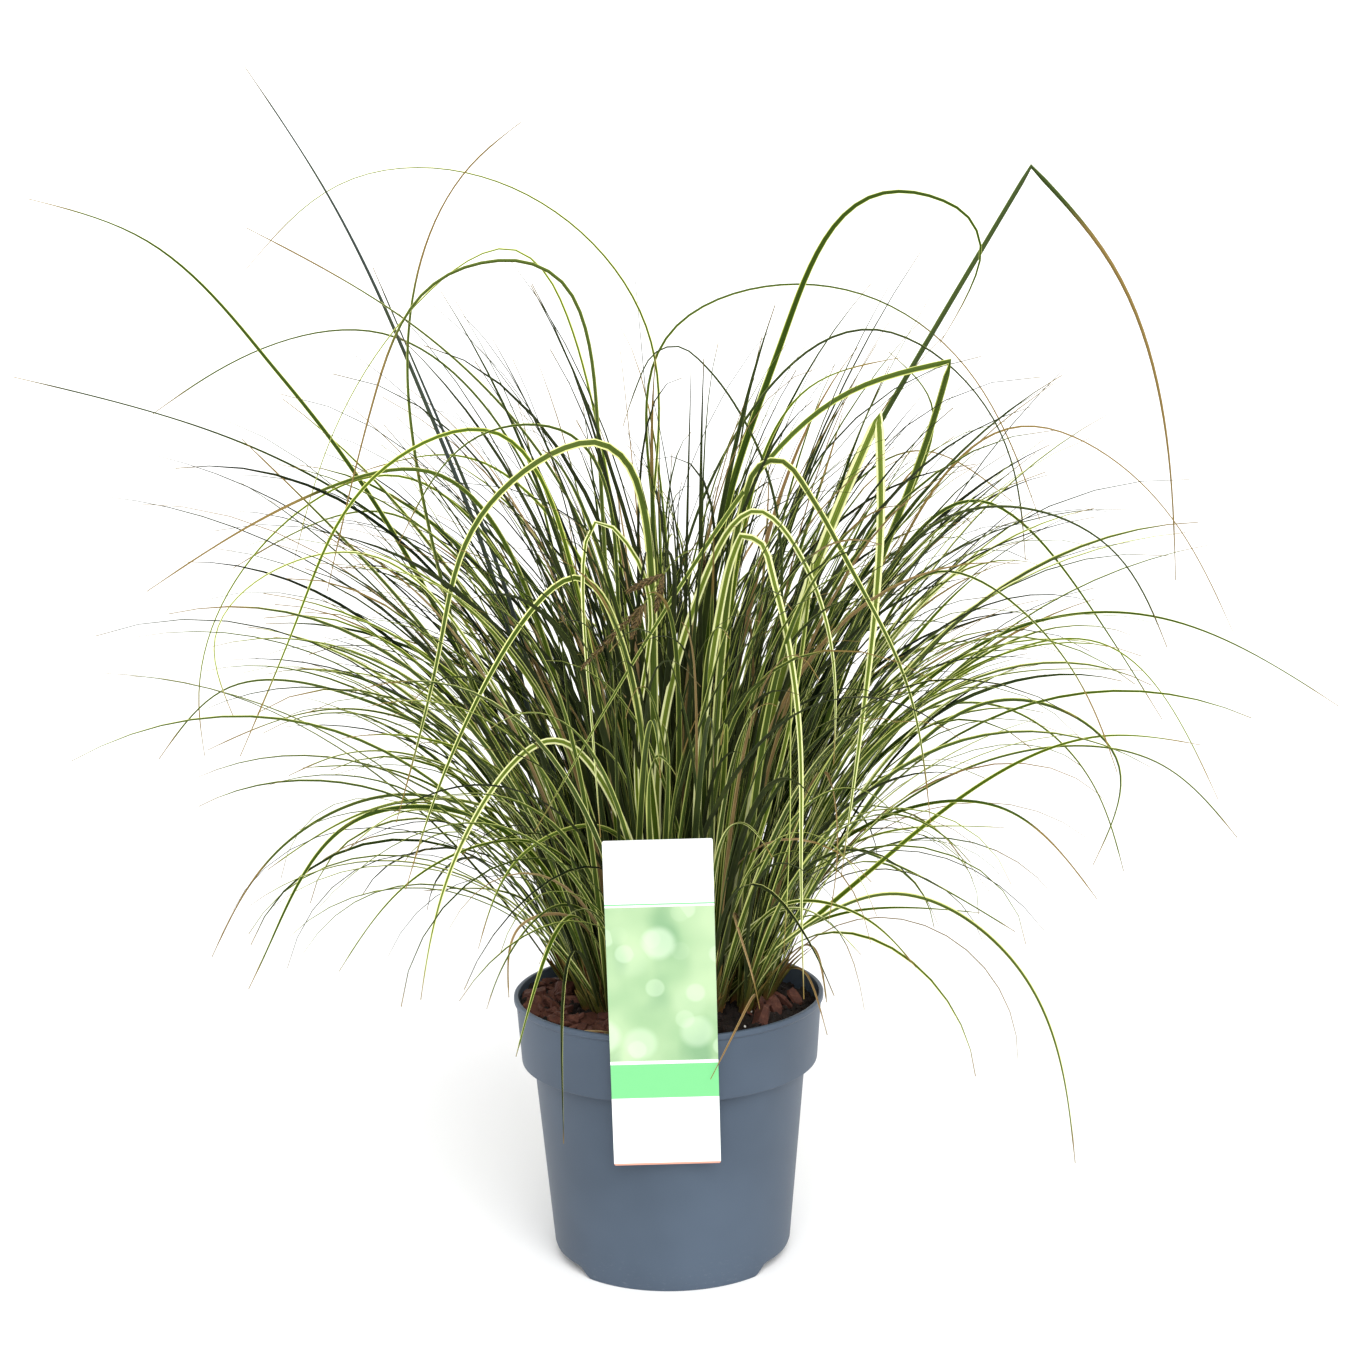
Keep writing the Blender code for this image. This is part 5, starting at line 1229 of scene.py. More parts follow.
class Finish:
    """A node material and short ways to add and join its nodes."""

    def __init__(self, name, roughness, specular):
        """A new material with its roughness and its specular level."""
        self.material = bpy.data.materials.new(name)
        self.material.use_nodes = True
        self.tree = self.material.node_tree
        self.surface = self.tree.nodes["Principled BSDF"]
        self.surface.inputs["Roughness"].default_value = roughness
        self.surface.inputs["Specular IOR Level"].default_value = specular

    def put(self, socket, value):
        """Joins a socket, or sets its number or colour."""
        if isinstance(value, bpy.types.NodeSocket):
            self.tree.links.new(value, socket)
        elif isinstance(value, (int, float)):
            socket.default_value = value
        else:
            value = tuple(value)
            size = len(socket.default_value)
            socket.default_value = (*value, 1.0)[:size] if len(value) < size else value[:size]

    def node(self, kind, *values, **settings):
        """A node with its settings and its first inputs."""
        made = self.tree.nodes.new("ShaderNode" + kind)
        for name, value in settings.items():
            setattr(made, name, value)
        for socket, value in zip(made.inputs, values):
            if value is not None:
                self.put(socket, value)
        return made

    def math(self, operation, *values):
        """One sum."""
        return self.node("Math", *values, operation=operation).outputs[0]

    def mix(self, share, first, second, blend="MIX"):
        """A colour between two."""
        made = self.tree.nodes.new("ShaderNodeMix")
        made.data_type = "RGBA"
        made.blend_type = blend
        for socket, value in ((made.inputs[0], share), (made.inputs[6], first), (made.inputs[7], second)):
            self.put(socket, value)
        return made.outputs[2]

    def noise(self, vector, scale, detail=2.0, roughness=0.5):
        """Smooth noise from 0 to 1."""
        return self.node("TexNoise", vector, None, scale, detail, roughness).outputs["Fac"]

    def curve(self, value, low, high, first=0.0, second=1.0):
        """A soft step from first to second as the value goes from low to high."""
        made = self.node("MapRange", value, low, high, first, second, interpolation_type="SMOOTHSTEP")
        return made.outputs[0]

    def ramp(self, value, stops, steps=False):
        """A colour looked up between stops of (place, colour)."""
        made = self.node("ValToRGB", value)
        made.color_ramp.interpolation = "CONSTANT" if steps else "LINEAR"
        for index, (place, colour) in enumerate(stops):
            if index < 2:
                stop = made.color_ramp.elements[index]
                stop.position = place
            else:
                stop = made.color_ramp.elements.new(place)
            stop.color = (*colour, 1.0)
        return made.outputs[0]

    def scaled(self, vector, x, y, z):
        """A vector stretched on each axis."""
        return self.node("VectorMath", vector, (x, y, z), operation="MULTIPLY").outputs[0]

    def object_place(self):
        """The place on the object, in metres."""
        return self.node("TexCoord").outputs["Object"]

    def nudged(self, value, noise, amount):
        """A value moved up or down by noise: value + amount (noise - 0.5)."""
        return self.math("ADD", value, self.math("MULTIPLY", self.math("SUBTRACT", noise, 0.5), amount))

    def between(self, value, low, high):
        """1 where a value lies between two others, and 0 elsewhere."""
        return self.math(
            "MULTIPLY", self.math("GREATER_THAN", value, low), self.math("LESS_THAN", value, high)
        )

    def bump(self, height, distance, strength):
        """A fine relief."""
        made = self.tree.nodes.new("ShaderNodeBump")
        made.inputs["Strength"].default_value = strength
        made.inputs["Distance"].default_value = distance
        self.put(made.inputs["Height"], height)
        self.tree.links.new(made.outputs[0], self.surface.inputs["Normal"])

    def colour(self, value):
        """The surface's colour."""
        self.put(self.surface.inputs["Base Color"], value)


@functools.cache
def leaf_finish():
    """Sedge leaf: green down the middle, pale margins, fine veins, painted shade over its lower part, a tan
    foot and a dry tip.
    """
    made = Finish("variegated sedge leaf", 0.48, 0.06)
    place = made.node("UVMap", uv_map=LEAF_MAP).outputs[0]
    split = made.node("SeparateXYZ", place)
    x, along = split.outputs[0], split.outputs[1]
    strip = made.math("MULTIPLY", x, float(LEAF_CLASSES))
    number = made.math("FLOOR", strip)
    turn = made.math("FRACT", strip)
    under = made.math("GREATER_THAN", turn, 0.5)
    side = made.math("FRACT", made.math("MULTIPLY", turn, 2.0))
    from_middle = made.math("MULTIPLY", made.math("ABSOLUTE", made.math("SUBTRACT", side, 0.5)), 2.0)
    steps = [i / LEAF_CLASSES for i in range(LEAF_CLASSES)]
    body = made.ramp(x, [(s, row[0]) for s, row in zip(steps, FINISHES)], steps=True)
    margin = made.ramp(x, [(s, row[1]) for s, row in zip(steps, FINISHES)], steps=True)
    shares = made.ramp(x, [(s, row[2:]) for s, row in zip(steps, FINISHES)], steps=True)
    shares = made.node("SeparateColor", shares).outputs
    flat = made.node("CombineXYZ", side, along, number).outputs[0]
    streak = made.noise(made.scaled(flat, 17.0, 5.0, 1.0), 1.0, 3.0, 0.6)
    patch = made.noise(made.scaled(flat, 1.5, 9.0, 1.0), 1.3, 2.0, 0.55)
    edge = made.nudged(made.math("SUBTRACT", 1.0, shares[0]), streak, 0.30)
    pale = made.curve(from_middle, made.math("SUBTRACT", edge, 0.07), made.math("ADD", edge, 0.07))
    shade = made.curve(streak, 0.25, 0.75, 0.62, 1.36)
    green = made.mix(1.0, body, made.node("CombineColor", shade, shade, shade).outputs[0], "MULTIPLY")
    green = made.mix(made.curve(patch, 0.45, 0.75, 0.0, 0.35), green, (0.070, 0.092, 0.006))
    line = made.curve(from_middle, 0.0, 0.10, 0.45, 0.0)
    green = made.mix(line, green, (0.009, 0.020, 0.004))
    surface = made.mix(pale, green, margin)
    surface = made.mix(made.math("MULTIPLY", under, 0.12), surface, (0.16, 0.19, 0.07))
    foot = made.math("SUBTRACT", 1.0, made.math("DIVIDE", along, shares[1]))
    foot = made.nudged(foot, streak, 1.3)
    # Painted shade: a dark green over the lower part of each leaf, where the clump shades its own base
    surface = made.mix(made.curve(foot, -1.4, 0.2, 0.0, 0.72), surface, (0.034, 0.042, 0.007))
    surface = made.mix(made.curve(foot, 0.1, 0.9), surface, colours().leaf_base)
    tip = made.math("SUBTRACT", along, made.math("SUBTRACT", 1.0, shares[2]))
    tip = made.nudged(tip, patch, 0.08)
    surface = made.mix(made.curve(tip, -0.02, 0.03), surface, colours().leaf_tip)
    made.colour(surface)
    made.bump(streak, 0.00012, 0.45)
    return made.material


def pot_finish():
    """Moulded plastic: an even blue-grey with a faint grain, cloudiness and scuffs at the foot."""
    made = Finish("moulded pot plastic", 0.46, 0.22)
    place = made.object_place()
    cloud = made.noise(place, 9.0, 3.0, 0.55)
    grain = made.noise(place, 2600.0, 2.0, 0.6)
    colour = colours().pot
    lighter = tuple(value * 1.14 + 0.002 for value in colour)
    darker = tuple(value * 0.90 for value in colour)
    surface = made.mix(made.curve(cloud, 0.3, 0.7), darker, lighter)
    height = made.node("SeparateXYZ", place).outputs[2]
    scuffs = made.noise(made.scaled(place, 260.0, 260.0, 900.0), 1.0, 3.0, 0.7)
    low = made.curve(height, 0.0, 0.030, 1.0, 0.0)
    worn = made.math("MULTIPLY", low, made.curve(scuffs, 0.58, 0.72, 0.0, 0.5))
    surface = made.mix(worn, surface, (0.14, 0.17, 0.21))
    made.colour(surface)
    made.put(made.surface.inputs["Roughness"], made.curve(cloud, 0.2, 0.8, 0.42, 0.52))
    made.bump(grain, 0.00006, 0.35)
    return made.material


def soil_finish(name, colour, spread, roughness=0.9):
    """Earth, crumbs and bark: a dark colour that changes from grain to grain, with a rough relief."""
    made = Finish(name, roughness, 0.3)
    place = made.object_place()
    patch = made.noise(place, 210.0, 2.0, 0.6)
    fine = made.noise(place, 1500.0, 3.0, 0.65)
    level = made.math("ADD", made.math("MULTIPLY", patch, 0.7), made.math("MULTIPLY", fine, 0.3))
    surface = made.ramp(level, spread)
    surface = made.mix(0.5, surface, colour)
    made.colour(surface)
    made.bump(fine, 0.0006, 0.8)
    return made.material


def card_finish():
    """Coated card: white with a barely uneven sheen."""
    made = Finish("coated label card", 0.34, 0.5)
    place = made.object_place()
    uneven = made.noise(place, 60.0, 2.0)
    surface = made.mix(made.curve(uneven, 0.3, 0.7), tuple(v * 0.97 for v in colours().card), colours().card)
    made.colour(surface)
    made.bump(made.noise(place, 3000.0, 1.0), 0.00002, 0.25)
    return made.material


def print_finish():
    """The label's front: plain bands of white and green and a pale field of soft overlapping discs."""
    made = Finish("printed label front", 0.34, 0.5)
    place = made.node("UVMap", uv_map=PRINT_MAP).outputs[0]
    up = made.node("SeparateXYZ", place).outputs[1]
    white = colours().card
    green = colours().print_green
    panel = colours().panel
    even = made.scaled(place, 1.0, 3.2, 1.0)
    cloud = made.noise(even, 1.3, 2.0, 0.5)
    shade = made.noise(made.scaled(place, 2.6, 4.4, 1.0), 1.0, 1.0, 0.4)
    field = made.mix(made.curve(cloud, 0.32, 0.68), panel, (0.430, 0.580, 0.340))
    field = made.mix(made.curve(shade, 0.50, 0.72, 0.0, 0.60), field, (0.130, 0.290, 0.145))
    for scale, soft, share in ((1.9, 0.16, 0.50), (3.6, 0.10, 0.34)):
        cells = made.node("TexVoronoi", even, voronoi_dimensions="2D")
        cells.inputs["Scale"].default_value = scale
        chosen = made.node("SeparateColor", cells.outputs["Color"]).outputs[0]
        disc = made.curve(cells.outputs["Distance"], 0.36 - soft, 0.36, share, 0.0)
        shown = made.math("MULTIPLY", disc, made.curve(chosen, 0.35, 0.65))
        field = made.mix(shown, field, (0.620, 0.760, 0.560))
    surface = made.mix(made.between(up, 0.328, 0.800), white, field)
    bands = ((0.806, 0.810, green), (0.212, 0.318, green), (0.0, 0.006, (0.62, 0.30, 0.22)))
    for low, high, colour in bands:
        surface = made.mix(made.between(up, low, high), surface, colour)
    made.colour(surface)
    made.bump(made.noise(made.object_place(), 3000.0, 1.0), 0.00002, 0.25)
    return made.material


def floor_finish():
    """Pale studio floor with a very faint unevenness."""
    made = Finish("pale studio floor", 1.0, 0.0)
    uneven = made.noise(made.object_place(), 1.5, 2.0)
    made.colour(made.mix(uneven, (0.875, 0.875, 0.875), (0.890, 0.890, 0.890)))
    return made.material


# The clump


@functools.cache
def clump():
    """Every main leaf as in the solids, with the thicket that they fill and the crown's places."""
    places, flower_place = crown_places()
    leaves, thicket = grow_leaves(places, flower_place)
    lines = np.array([leaf["line"] for leaf in leaves])
    ways = np.array([leaf["way"] for leaf in leaves])
    twists = np.array([leaf["twist"] for leaf in leaves])
    across, face = leaf_frames(lines, ways, twists)
    return {
        "places": places,
        "flower": flower_place,
        "leaves": leaves,
        "thicket": thicket,
        "lines": lines,
        "across": across,
        "face": face,
    }


def rooted(lines, across, face, half):
    """Lines with one more point below the soil, straight back along their start."""
    start = lines[:, 1] - lines[:, 0]
    start = start / start[:, 2:]
    below = lines[:, 0] - start * (lines[:, 0, 2:] - (SOIL_TOP - LEAF_DEPTH_IN_SOIL))
    lines = np.concatenate([below[:, None], lines], axis=1)
    across = np.concatenate([across[:, :1], across], axis=1)
    face = np.concatenate([face[:, :1], face], axis=1)
    return lines, across, face, np.concatenate([half[:, :1], half], axis=1)


def finer(line, steps):
    """A leaf's line with more points: smooth between its folds, which stay sharp."""
    direction = unit(np.diff(line, axis=0))
    cosine = (direction[1:] * direction[:-1]).sum(axis=1)
    folds = [0, *(np.flatnonzero(cosine < math.cos(SHARP_FOLD)) + 1), len(line) - 1]
    runs = []
    for start, end in zip(folds[:-1], folds[1:]):
        count = max(1, round(steps * (end - start) / (len(line) - 1)))
        runs.append(through(line[start : end + 1], count)[: count + (end == len(line) - 1)])
    whole = np.concatenate(runs)
    share = np.linspace(0, len(whole) - 1, steps + 1)
    return whole[np.round(share).astype(int)]


def leaf_blades(chosen, steps, chance):
    """The blades of some of the clump's leaves, with so many stations along each.

    The upper face of a long leaf is (1 - |p|) face + p front, squared to its run, where p is the
    share by which it turns to the front, and is negative where the face looks away.
    """
    grown = clump()
    lines = np.array([finer(grown["lines"][i], steps) for i in chosen])
    was = np.linspace(0, 1, LINE_STEPS + 1)
    now = np.linspace(0, 1, steps + 1)
    below = np.clip(np.searchsorted(was, now, side="right") - 1, 0, LINE_STEPS - 1)
    share = (now * LINE_STEPS - below)[None, :, None]
    along = unit(np.gradient(lines, axis=1))
    face = grown["face"][chosen]
    face = face[:, below] * (1 - share) + face[:, below + 1] * share
    rows = [grown["leaves"][i]["row"] for i in chosen]
    middle = (face[:, steps // 2] * FRONT).sum(axis=1)
    pull = [FULL_FRONT_SHARE if row in FULL_FRONT_LEAVES else FRONT_SHARE for row in rows]
    pull = np.where([row is None for row in rows], 0.0, pull) * np.where(middle < 0, -1, 1)
    face = squared(face * (1 - np.abs(pull))[:, None, None] + pull[:, None, None] * np.array(FRONT), along)
    across = np.cross(along, face)
    half = np.array([np.interp(now, was, grown["leaves"][i]["half"]) for i in chosen])
    wider = [RULE_LEAF_WIDER if row is None else WIDER_LEAVES.get(row, LONG_LEAF_WIDER) for row in rows]
    half = half * np.array(wider)[:, None]
    tip = LONG_TIP_HALF_WIDTH * np.minimum(1, (1 - now) / LONG_TIP_SHARE)
    half = np.where([[row is not None] for row in rows], np.maximum(half, tip), half)
    finishes = []
    for i in chosen:
        leaf = grown["leaves"][i]
        # Leaves by rule in inner tufts take darker finishes: painted shade inside the clump
        shaded_inner = leaf["row"] is None and is_inner(grown["places"][leaf["tuft"]])
        options = INNER_SHADE_FINISHES if shaded_inner else LEAF_FINISHES
        options = DRY_FINISHES if leaf["dry"] else options
        finishes.append(MARKED_LEAVES.get(leaf["row"], int(chance.choice(options))))
    return folded_blades(*rooted(lines, across, face, half), sizes().keel, finishes, sizes().trough)


def is_inner(place):
    """Whether a tuft stands in the middle of the crown, where darker finishes paint the shade inside the
    clump.
    """
    return bool(np.hypot(*crown_offset(place)) < INNER_SHADE_REACH)


class SEDGE_OT_leaves(bpy.types.Operator):
    """Adds the main leaves, one piece for each tuft"""

    bl_idname = "sedge.leaves"
    bl_label = "Main leaves"

    def execute(self, context):
        """Draws each tuft's leaves on the lines of its solid."""
        grown = clump()
        for tuft in range(len(grown["places"])):
            chance = np.random.default_rng([SEED, LEAF_DRAWS, tuft])
            mine = [i for i, leaf in enumerate(grown["leaves"]) if leaf["tuft"] == tuft]
            long_ones = [i for i in mine if grown["leaves"][i]["row"] is not None]
            arching = [i for i in mine if grown["leaves"][i]["row"] is None]
            groups = []
            if long_ones:
                groups.append(leaf_blades(long_ones, LONG_STEPS, chance))
            if arching:
                groups.append(leaf_blades(arching, ARCH_STEPS, chance))
            number = f"{tuft + 1:02d}"
            blade_piece(f"tuft_leaves_{number}", groups, nodes=[f"sedge_tuft_{number}"])
        return {"FINISHED"}


class SEDGE_OT_fine_leaves(bpy.types.Operator):
    """Adds the thin leaves that fill the clump"""

    bl_idname = "sedge.fine_leaves"
    bl_label = "Fine leaves"

    def execute(self, context):
        """Tries random thin arching leaves and keeps those that pass the others."""
        grown = clump()
        chance = np.random.default_rng([SEED, FINE_LEAF_DRAWS])
        lines, halves, ways, finishes = [], [], [], []
        for number in range(sizes().fine_leaves):
            tuft = number % len(grown["places"])
            drooping = number % DROOPING_EVERY == 0
            # Thin leaves of inner tufts take darker finishes: painted shade inside the clump
            options = INNER_SHADE_FINISHES if is_inner(grown["places"][tuft]) else FINE_FINISHES
            options = DRY_FINISHES if chance.random() < FINE_DRY_SHARE else options
            for _ in range(FINE_TRIES):
                line, way = fine_line(grown["places"][tuft], drooping, chance)
                half = leaf_widths(chance.uniform(*FINE_WIDTH))
                coarse = line[::ROOM_STRIDE]
                room = half[::ROOM_STRIDE] * ROOM_SHARE
                if has_room(line) and misses_pot(coarse) and grown["thicket"].is_clear(coarse, room, tuft):
                    grown["thicket"].add(coarse, room, tuft)
                    lines.append(line[::FINE_STRIDE])
                    halves.append(half[::FINE_STRIDE])
                    ways.append(way)
                    finishes.append(int(chance.choice(options)))
                    break
        lines, halves = np.array(lines), np.array(halves)
        twists = chance.uniform(-FINE_MOST_TWIST, FINE_MOST_TWIST, len(lines))
        across, face = leaf_frames(lines, np.array(ways), twists)
        finishes = np.array(finishes)
        keel = sizes().keel * FINE_KEEL_SHARE
        for group in range(FINE_GROUPS):
            pick = np.arange(len(lines)) % FINE_GROUPS == group
            data = rooted(lines[pick], across[pick], face[pick], halves[pick])
            blades = folded_blades(*data, keel, finishes[pick], sizes().trough)
            blade_piece(f"fine_leaves_{group + 1:02d}", [blades])
        return {"FINISHED"}


def fine_line(place, drooping, chance):
    """The line of a thin leaf from somewhere in a tuft, and the way it leaves the tuft.

    Drooping leaves lean out more than upright ones and bend over until their tips hang.
    """
    edge = edge_share(place)
    turn = chance.uniform(0, 2 * math.pi)
    way = np.array([math.cos(turn), math.sin(turn)])
    root = np.array([*(place + way * chance.uniform(*FINE_ROOT)), SOIL_TOP + ROOT_RISE])
    spread = tuft_lean(place) * (1.0 if drooping else UPRIGHT_LEAN)
    spread = spread + way * math.tan(math.radians(chance.uniform(*FINE_SPREAD)))
    scatter = DROOPING_HEADING_SCATTER if drooping else UPRIGHT_HEADING_SCATTER
    azimuth = math.atan2(spread[1], spread[0]) + chance.normal(0, scatter)
    lengths, bends, powers = DROOPING if drooping else UPRIGHT
    length = chance.uniform(*lengths) * (1 - EDGE_SHORTER * edge)
    bend = math.radians(chance.uniform(*bends) + FINE_EDGE_BEND * edge)
    start = math.atan(float(np.hypot(*spread)))
    power = chance.uniform(*powers)
    drift = chance.normal(0, FINE_DRIFT)
    return arching_line(root, start, azimuth, length, bend, power, drift), way


def has_room(line):
    """Whether a line stays inside the box of the solids and doesn't hang over the label."""
    low, high = np.array(CAD_BOX)
    beside = np.abs(line[:, 0] - LABEL_SHIFT) < LABEL_WIDTH * OVER_LABEL_SHARE
    in_front = (line[:, 1] < -LIP_RADIUS) & beside
    over_label = in_front & (line[:, 2] < POT_HEIGHT + LABEL_ABOVE_RIM + OVER_LABEL_ROOM)
    return bool((line > low).all() and (line < high).all() and not over_label.any())


class SEDGE_OT_sheaths(bpy.types.Operator):
    """Adds the sheaths and dry bracts round the foot of each shoot"""

    bl_idname = "sedge.sheaths"
    bl_label = "Sheaths"

    def execute(self, context):
        """Short curled blades that stand round each tuft and lean as it does.

        At a height h of its length l, a sheath stands off its tuft's axis by its root's distance,
        plus h times the tangent of its flare, plus its curl times l (h / l)^3.
        """
        grown = clump()
        chance = np.random.default_rng([SEED, SHEATH_DRAWS])
        places = np.concatenate([grown["places"], [grown["flower"]]])
        leans = np.array([tuft_lean(place) for place in places])
        count = len(places) * SHEATHS_EACH
        place = np.repeat(places, SHEATHS_EACH, axis=0)
        lean = np.repeat(leans, SHEATHS_EACH, axis=0)
        turn = np.arange(SHEATHS_EACH) * 2 * math.pi / SHEATHS_EACH
        turn = np.tile(turn, len(places)) + chance.normal(0, SHEATH_TURN_SCATTER, count)
        way = np.stack([np.cos(turn), np.sin(turn)], axis=1)
        length = sizes().sheath_height * chance.uniform(*SHEATH_LENGTHS, count) ** 1.2
        out = chance.uniform(*SHEATH_ROOT, count)
        share = np.linspace(0, 1, SHEATH_ROWS)
        height = length[:, None] * share
        flare = np.tan(np.radians(chance.uniform(*SHEATH_FLARE, count)))[:, None] * height
        curl = (chance.uniform(0, 1, count) ** 4 * SHEATH_CURL)[:, None] * length[:, None] * share**3
        ground = lean[:, None] * height[..., None] + way[:, None] * (out[:, None] + flare + curl)[..., None]
        ground = place[:, None] + ground
        lines = np.concatenate([ground, (SOIL_TOP - SHEATH_SUNK + height)[..., None]], axis=2)
        along = unit(np.gradient(lines, axis=1))
        inward = np.concatenate([-way, np.zeros((count, 1))], axis=1)[:, None] + np.zeros_like(lines)
        face = squared(inward, along)
        across = np.cross(along, face)
        half = chance.uniform(*SHEATH_HALF_WIDTH, count)[:, None] * (1 - share**1.6) ** 0.8
        finishes = chance.choice(SHEATH_FINISHES, count)
        blades = folded_blades(lines, across, face, half, SHEATH_KEEL, finishes, SHEATH_FOLD)
        blade_piece("shoot_sheaths", [blades])
        return {"FINISHED"}


class SEDGE_OT_loose_blades(bpy.types.Operator):
    """Adds the dry strands and the pale leaf that hang among the others"""

    bl_idname = "sedge.loose_blades"
    bl_label = "Loose blades"

    def execute(self, context):
        """Thin blades through a few placed points."""
        lines = np.array([through(np.array(points) / 100, LOOSE_STEPS) for _, _, points in LOOSE_BLADES])
        width = np.array([width for width, _, _ in LOOSE_BLADES]) / 1000
        share = np.linspace(0, 1, LOOSE_STEPS + 1)
        half = width[:, None] / 2 * (1 - share**3) ** 0.8
        ways = np.tile([[0.0, 1.0]], (len(lines), 1))
        chance = np.random.default_rng([SEED, LOOSE_BLADE_DRAWS])
        twists = chance.uniform(-LOOSE_MOST_TWIST, LOOSE_MOST_TWIST, len(lines))
        across, face = leaf_frames(lines, ways, twists)
        along = np.cross(face, across)
        face = squared(face * (1 - FULL_FRONT_SHARE) + FULL_FRONT_SHARE * np.array(FRONT), along)
        across = np.cross(along, face)
        finishes = [finish for _, finish, _ in LOOSE_BLADES]
        blades = folded_blades(lines, across, face, half, LOOSE_KEEL, finishes, LOOSE_FOLD)
        blade_piece("loose_blades", [blades])
        return {"FINISHED"}


class SEDGE_OT_flower_stem(bpy.types.Operator):
    """Adds the flower stem with its scaly spikelets"""

    bl_idname = "sedge.flower_stem"
    bl_label = "Flower stem"

    def execute(self, context):
        """A thin stem, and for each spikelet a spiral of small pointed scales."""
        grown = clump()
        chance = np.random.default_rng([SEED, SPIKELET_DRAWS])
        line = flower_line(grown["flower"])
        fine = through(line, STEM_FINE_STEPS)[None]
        across, face = leaf_frames(fine, np.array([[0.0, 1.0]]), np.array([STEM_TWIST]))
        half = np.linspace(*STEM_HALF_WIDTHS, STEM_FINE_STEPS + 1)[None]
        stem = folded_blades(*rooted(fine, across, face, half), STEM_KEEL, [STEM_FINISH], STEM_FOLD)
        spikes = []
        for share, length, lean in SPIKELETS:
            step = round(share * STEM_STEPS)
            way = line[step + 1] - line[step]
            way = way / np.linalg.norm(way) + lean
            spikes.append((line[step], line[step] + way / np.linalg.norm(way) * length))
        base = line[round(END_SPIKELET_START * STEM_STEPS)]
        spikes.append((base, line[-1] + (line[-1] - base) * END_SPIKELET_REACH))
        groups = [stem, *(spikelet(base, tip, chance) for base, tip in spikes)]
        blade_piece("flower_stem_fine", groups, ["flower_stem"])
        return {"FINISHED"}


def spikelet(base, tip, chance):
    """A spiral of pointed scales round an axis.

    Scale i leaves the axis at share (i / count) of its length, turned by i golden angles, and
    runs forward and outward; scales in the middle stand out the most.
    """
    count = SCALES_EACH
    axis = (tip - base) / np.linalg.norm(tip - base)
    side = np.cross(axis, [0.0, 0.0, 1.0])
    side /= np.linalg.norm(side)
    other = np.cross(axis, side)
    share = np.arange(count) / count
    turn = golden_turns(count)
    way = side * np.cos(turn)[:, None] + other * np.sin(turn)[:, None]
    bulge = np.sin(np.pi * (0.12 + 0.80 * share))
    reach = chance.uniform(*SCALE_LENGTH, count)[:, None]
    start = base + (tip - base) * share[:, None] * 0.92 + way * SCALE_ROOT
    middle = start + axis * reach * 0.5 + way * (SPIKELET_RADIUS * 0.62 * bulge)[:, None]
    stand = SPIKELET_RADIUS * chance.uniform(*SCALE_STAND, count) * bulge
    end = start + axis * reach + way * stand[:, None]
    lines = np.stack([start, middle, end], axis=1)
    along = unit(np.gradient(lines, axis=1))
    face = squared(np.broadcast_to(-way[:, None], lines.shape), along)
    across = np.cross(along, face)
    half = np.tile(SCALE_HALF_WIDTHS, (count, 1))
    return folded_blades(lines, across, face, half, SCALE_KEEL, [SCALE_FINISH] * count, SCALE_FOLD)


# Pot, soil and label


class SEDGE_OT_pot(bpy.types.Operator):
    """Adds the nursery pot"""

    bl_idname = "sedge.pot"
    bl_label = "Pot"

    def execute(self, context):
        """The solid's profile with rounded corners, carried round, with drain holes cut through."""
        floor_top = FLOOR_UNDERSIDE + FLOOR_THICKNESS
        floor_edge = BODY_FOOT_RADIUS - FOOT_WIDTH
        corners = (
            (POLE_RADIUS, FLOOR_UNDERSIDE),
            (floor_edge, FLOOR_UNDERSIDE),
            (floor_edge, 0.0),
            (BODY_FOOT_RADIUS, 0.0),
            (body_radius(BODY_FOOT_RISE), BODY_FOOT_RISE),
            (BODY_TOP_RADIUS, BAND_FOOT_HEIGHT),
            (BAND_FOOT_RADIUS, BAND_FOOT_HEIGHT),
            (BAND_TOP_RADIUS, POT_HEIGHT - LIP_UNDERCUT),
            (LIP_RADIUS, POT_HEIGHT - LIP_DEPTH),
            (LIP_RADIUS, POT_HEIGHT),
            (BAND_TOP_RADIUS - WALL, POT_HEIGHT),
            (BAND_FOOT_RADIUS - WALL, BAND_FOOT_HEIGHT + WALL),
            (BODY_TOP_RADIUS - WALL, BAND_FOOT_HEIGHT + WALL),
            (body_radius(floor_top) - WALL, floor_top),
            (POLE_RADIUS, floor_top),
        )
        profile = rounded(corners, np.array(POT_ROUNDING) / 1000)

        def foot(x, y, profile, angle):
            """The scalloped edge's height, fading out up to the floor."""
            return foot_height(angle)[None] * np.clip(1 - profile[:, 1:] / FLOOR_UNDERSIDE, 0, 1)

        surface = turned(profile, POT_SEGMENTS, FLOOR_UNDERSIDE, floor_top, foot)
        mesh = new_mesh("nursery_pot", *surface)
        piece = add_piece("nursery_pot", mesh, [pot_finish()], ["pot"])
        combine(piece, drain_cutter(), "DIFFERENCE")
        combine(piece, foot_rib(), "UNION")
        piece.data.shade_smooth()
        piece.data.set_sharp_from_angle(angle=math.radians(35))
        return {"FINISHED"}


def drain_cutter():
    """Closed tubes where the drain holes go through the raised floor."""
    low = FLOOR_UNDERSIDE - HOLE_CLEARANCE
    high = FLOOR_UNDERSIDE + FLOOR_THICKNESS + HOLE_CLEARANCE
    points, quads, triangles = turned(((DRAIN_RADIUS, low), (DRAIN_RADIUS, high)), HOLE_SIDES, low, high)
    tubes = []
    for i in range(DRAIN_HOLES):
        angle = (i + 0.5) * 2 * math.pi / DRAIN_HOLES
        centre = (DRAIN_CIRCLE * math.cos(angle), DRAIN_CIRCLE * math.sin(angle), 0.0)
        tubes.append((points + centre, quads, triangles))
    return new_mesh("drain_cutter", *joined(tubes))


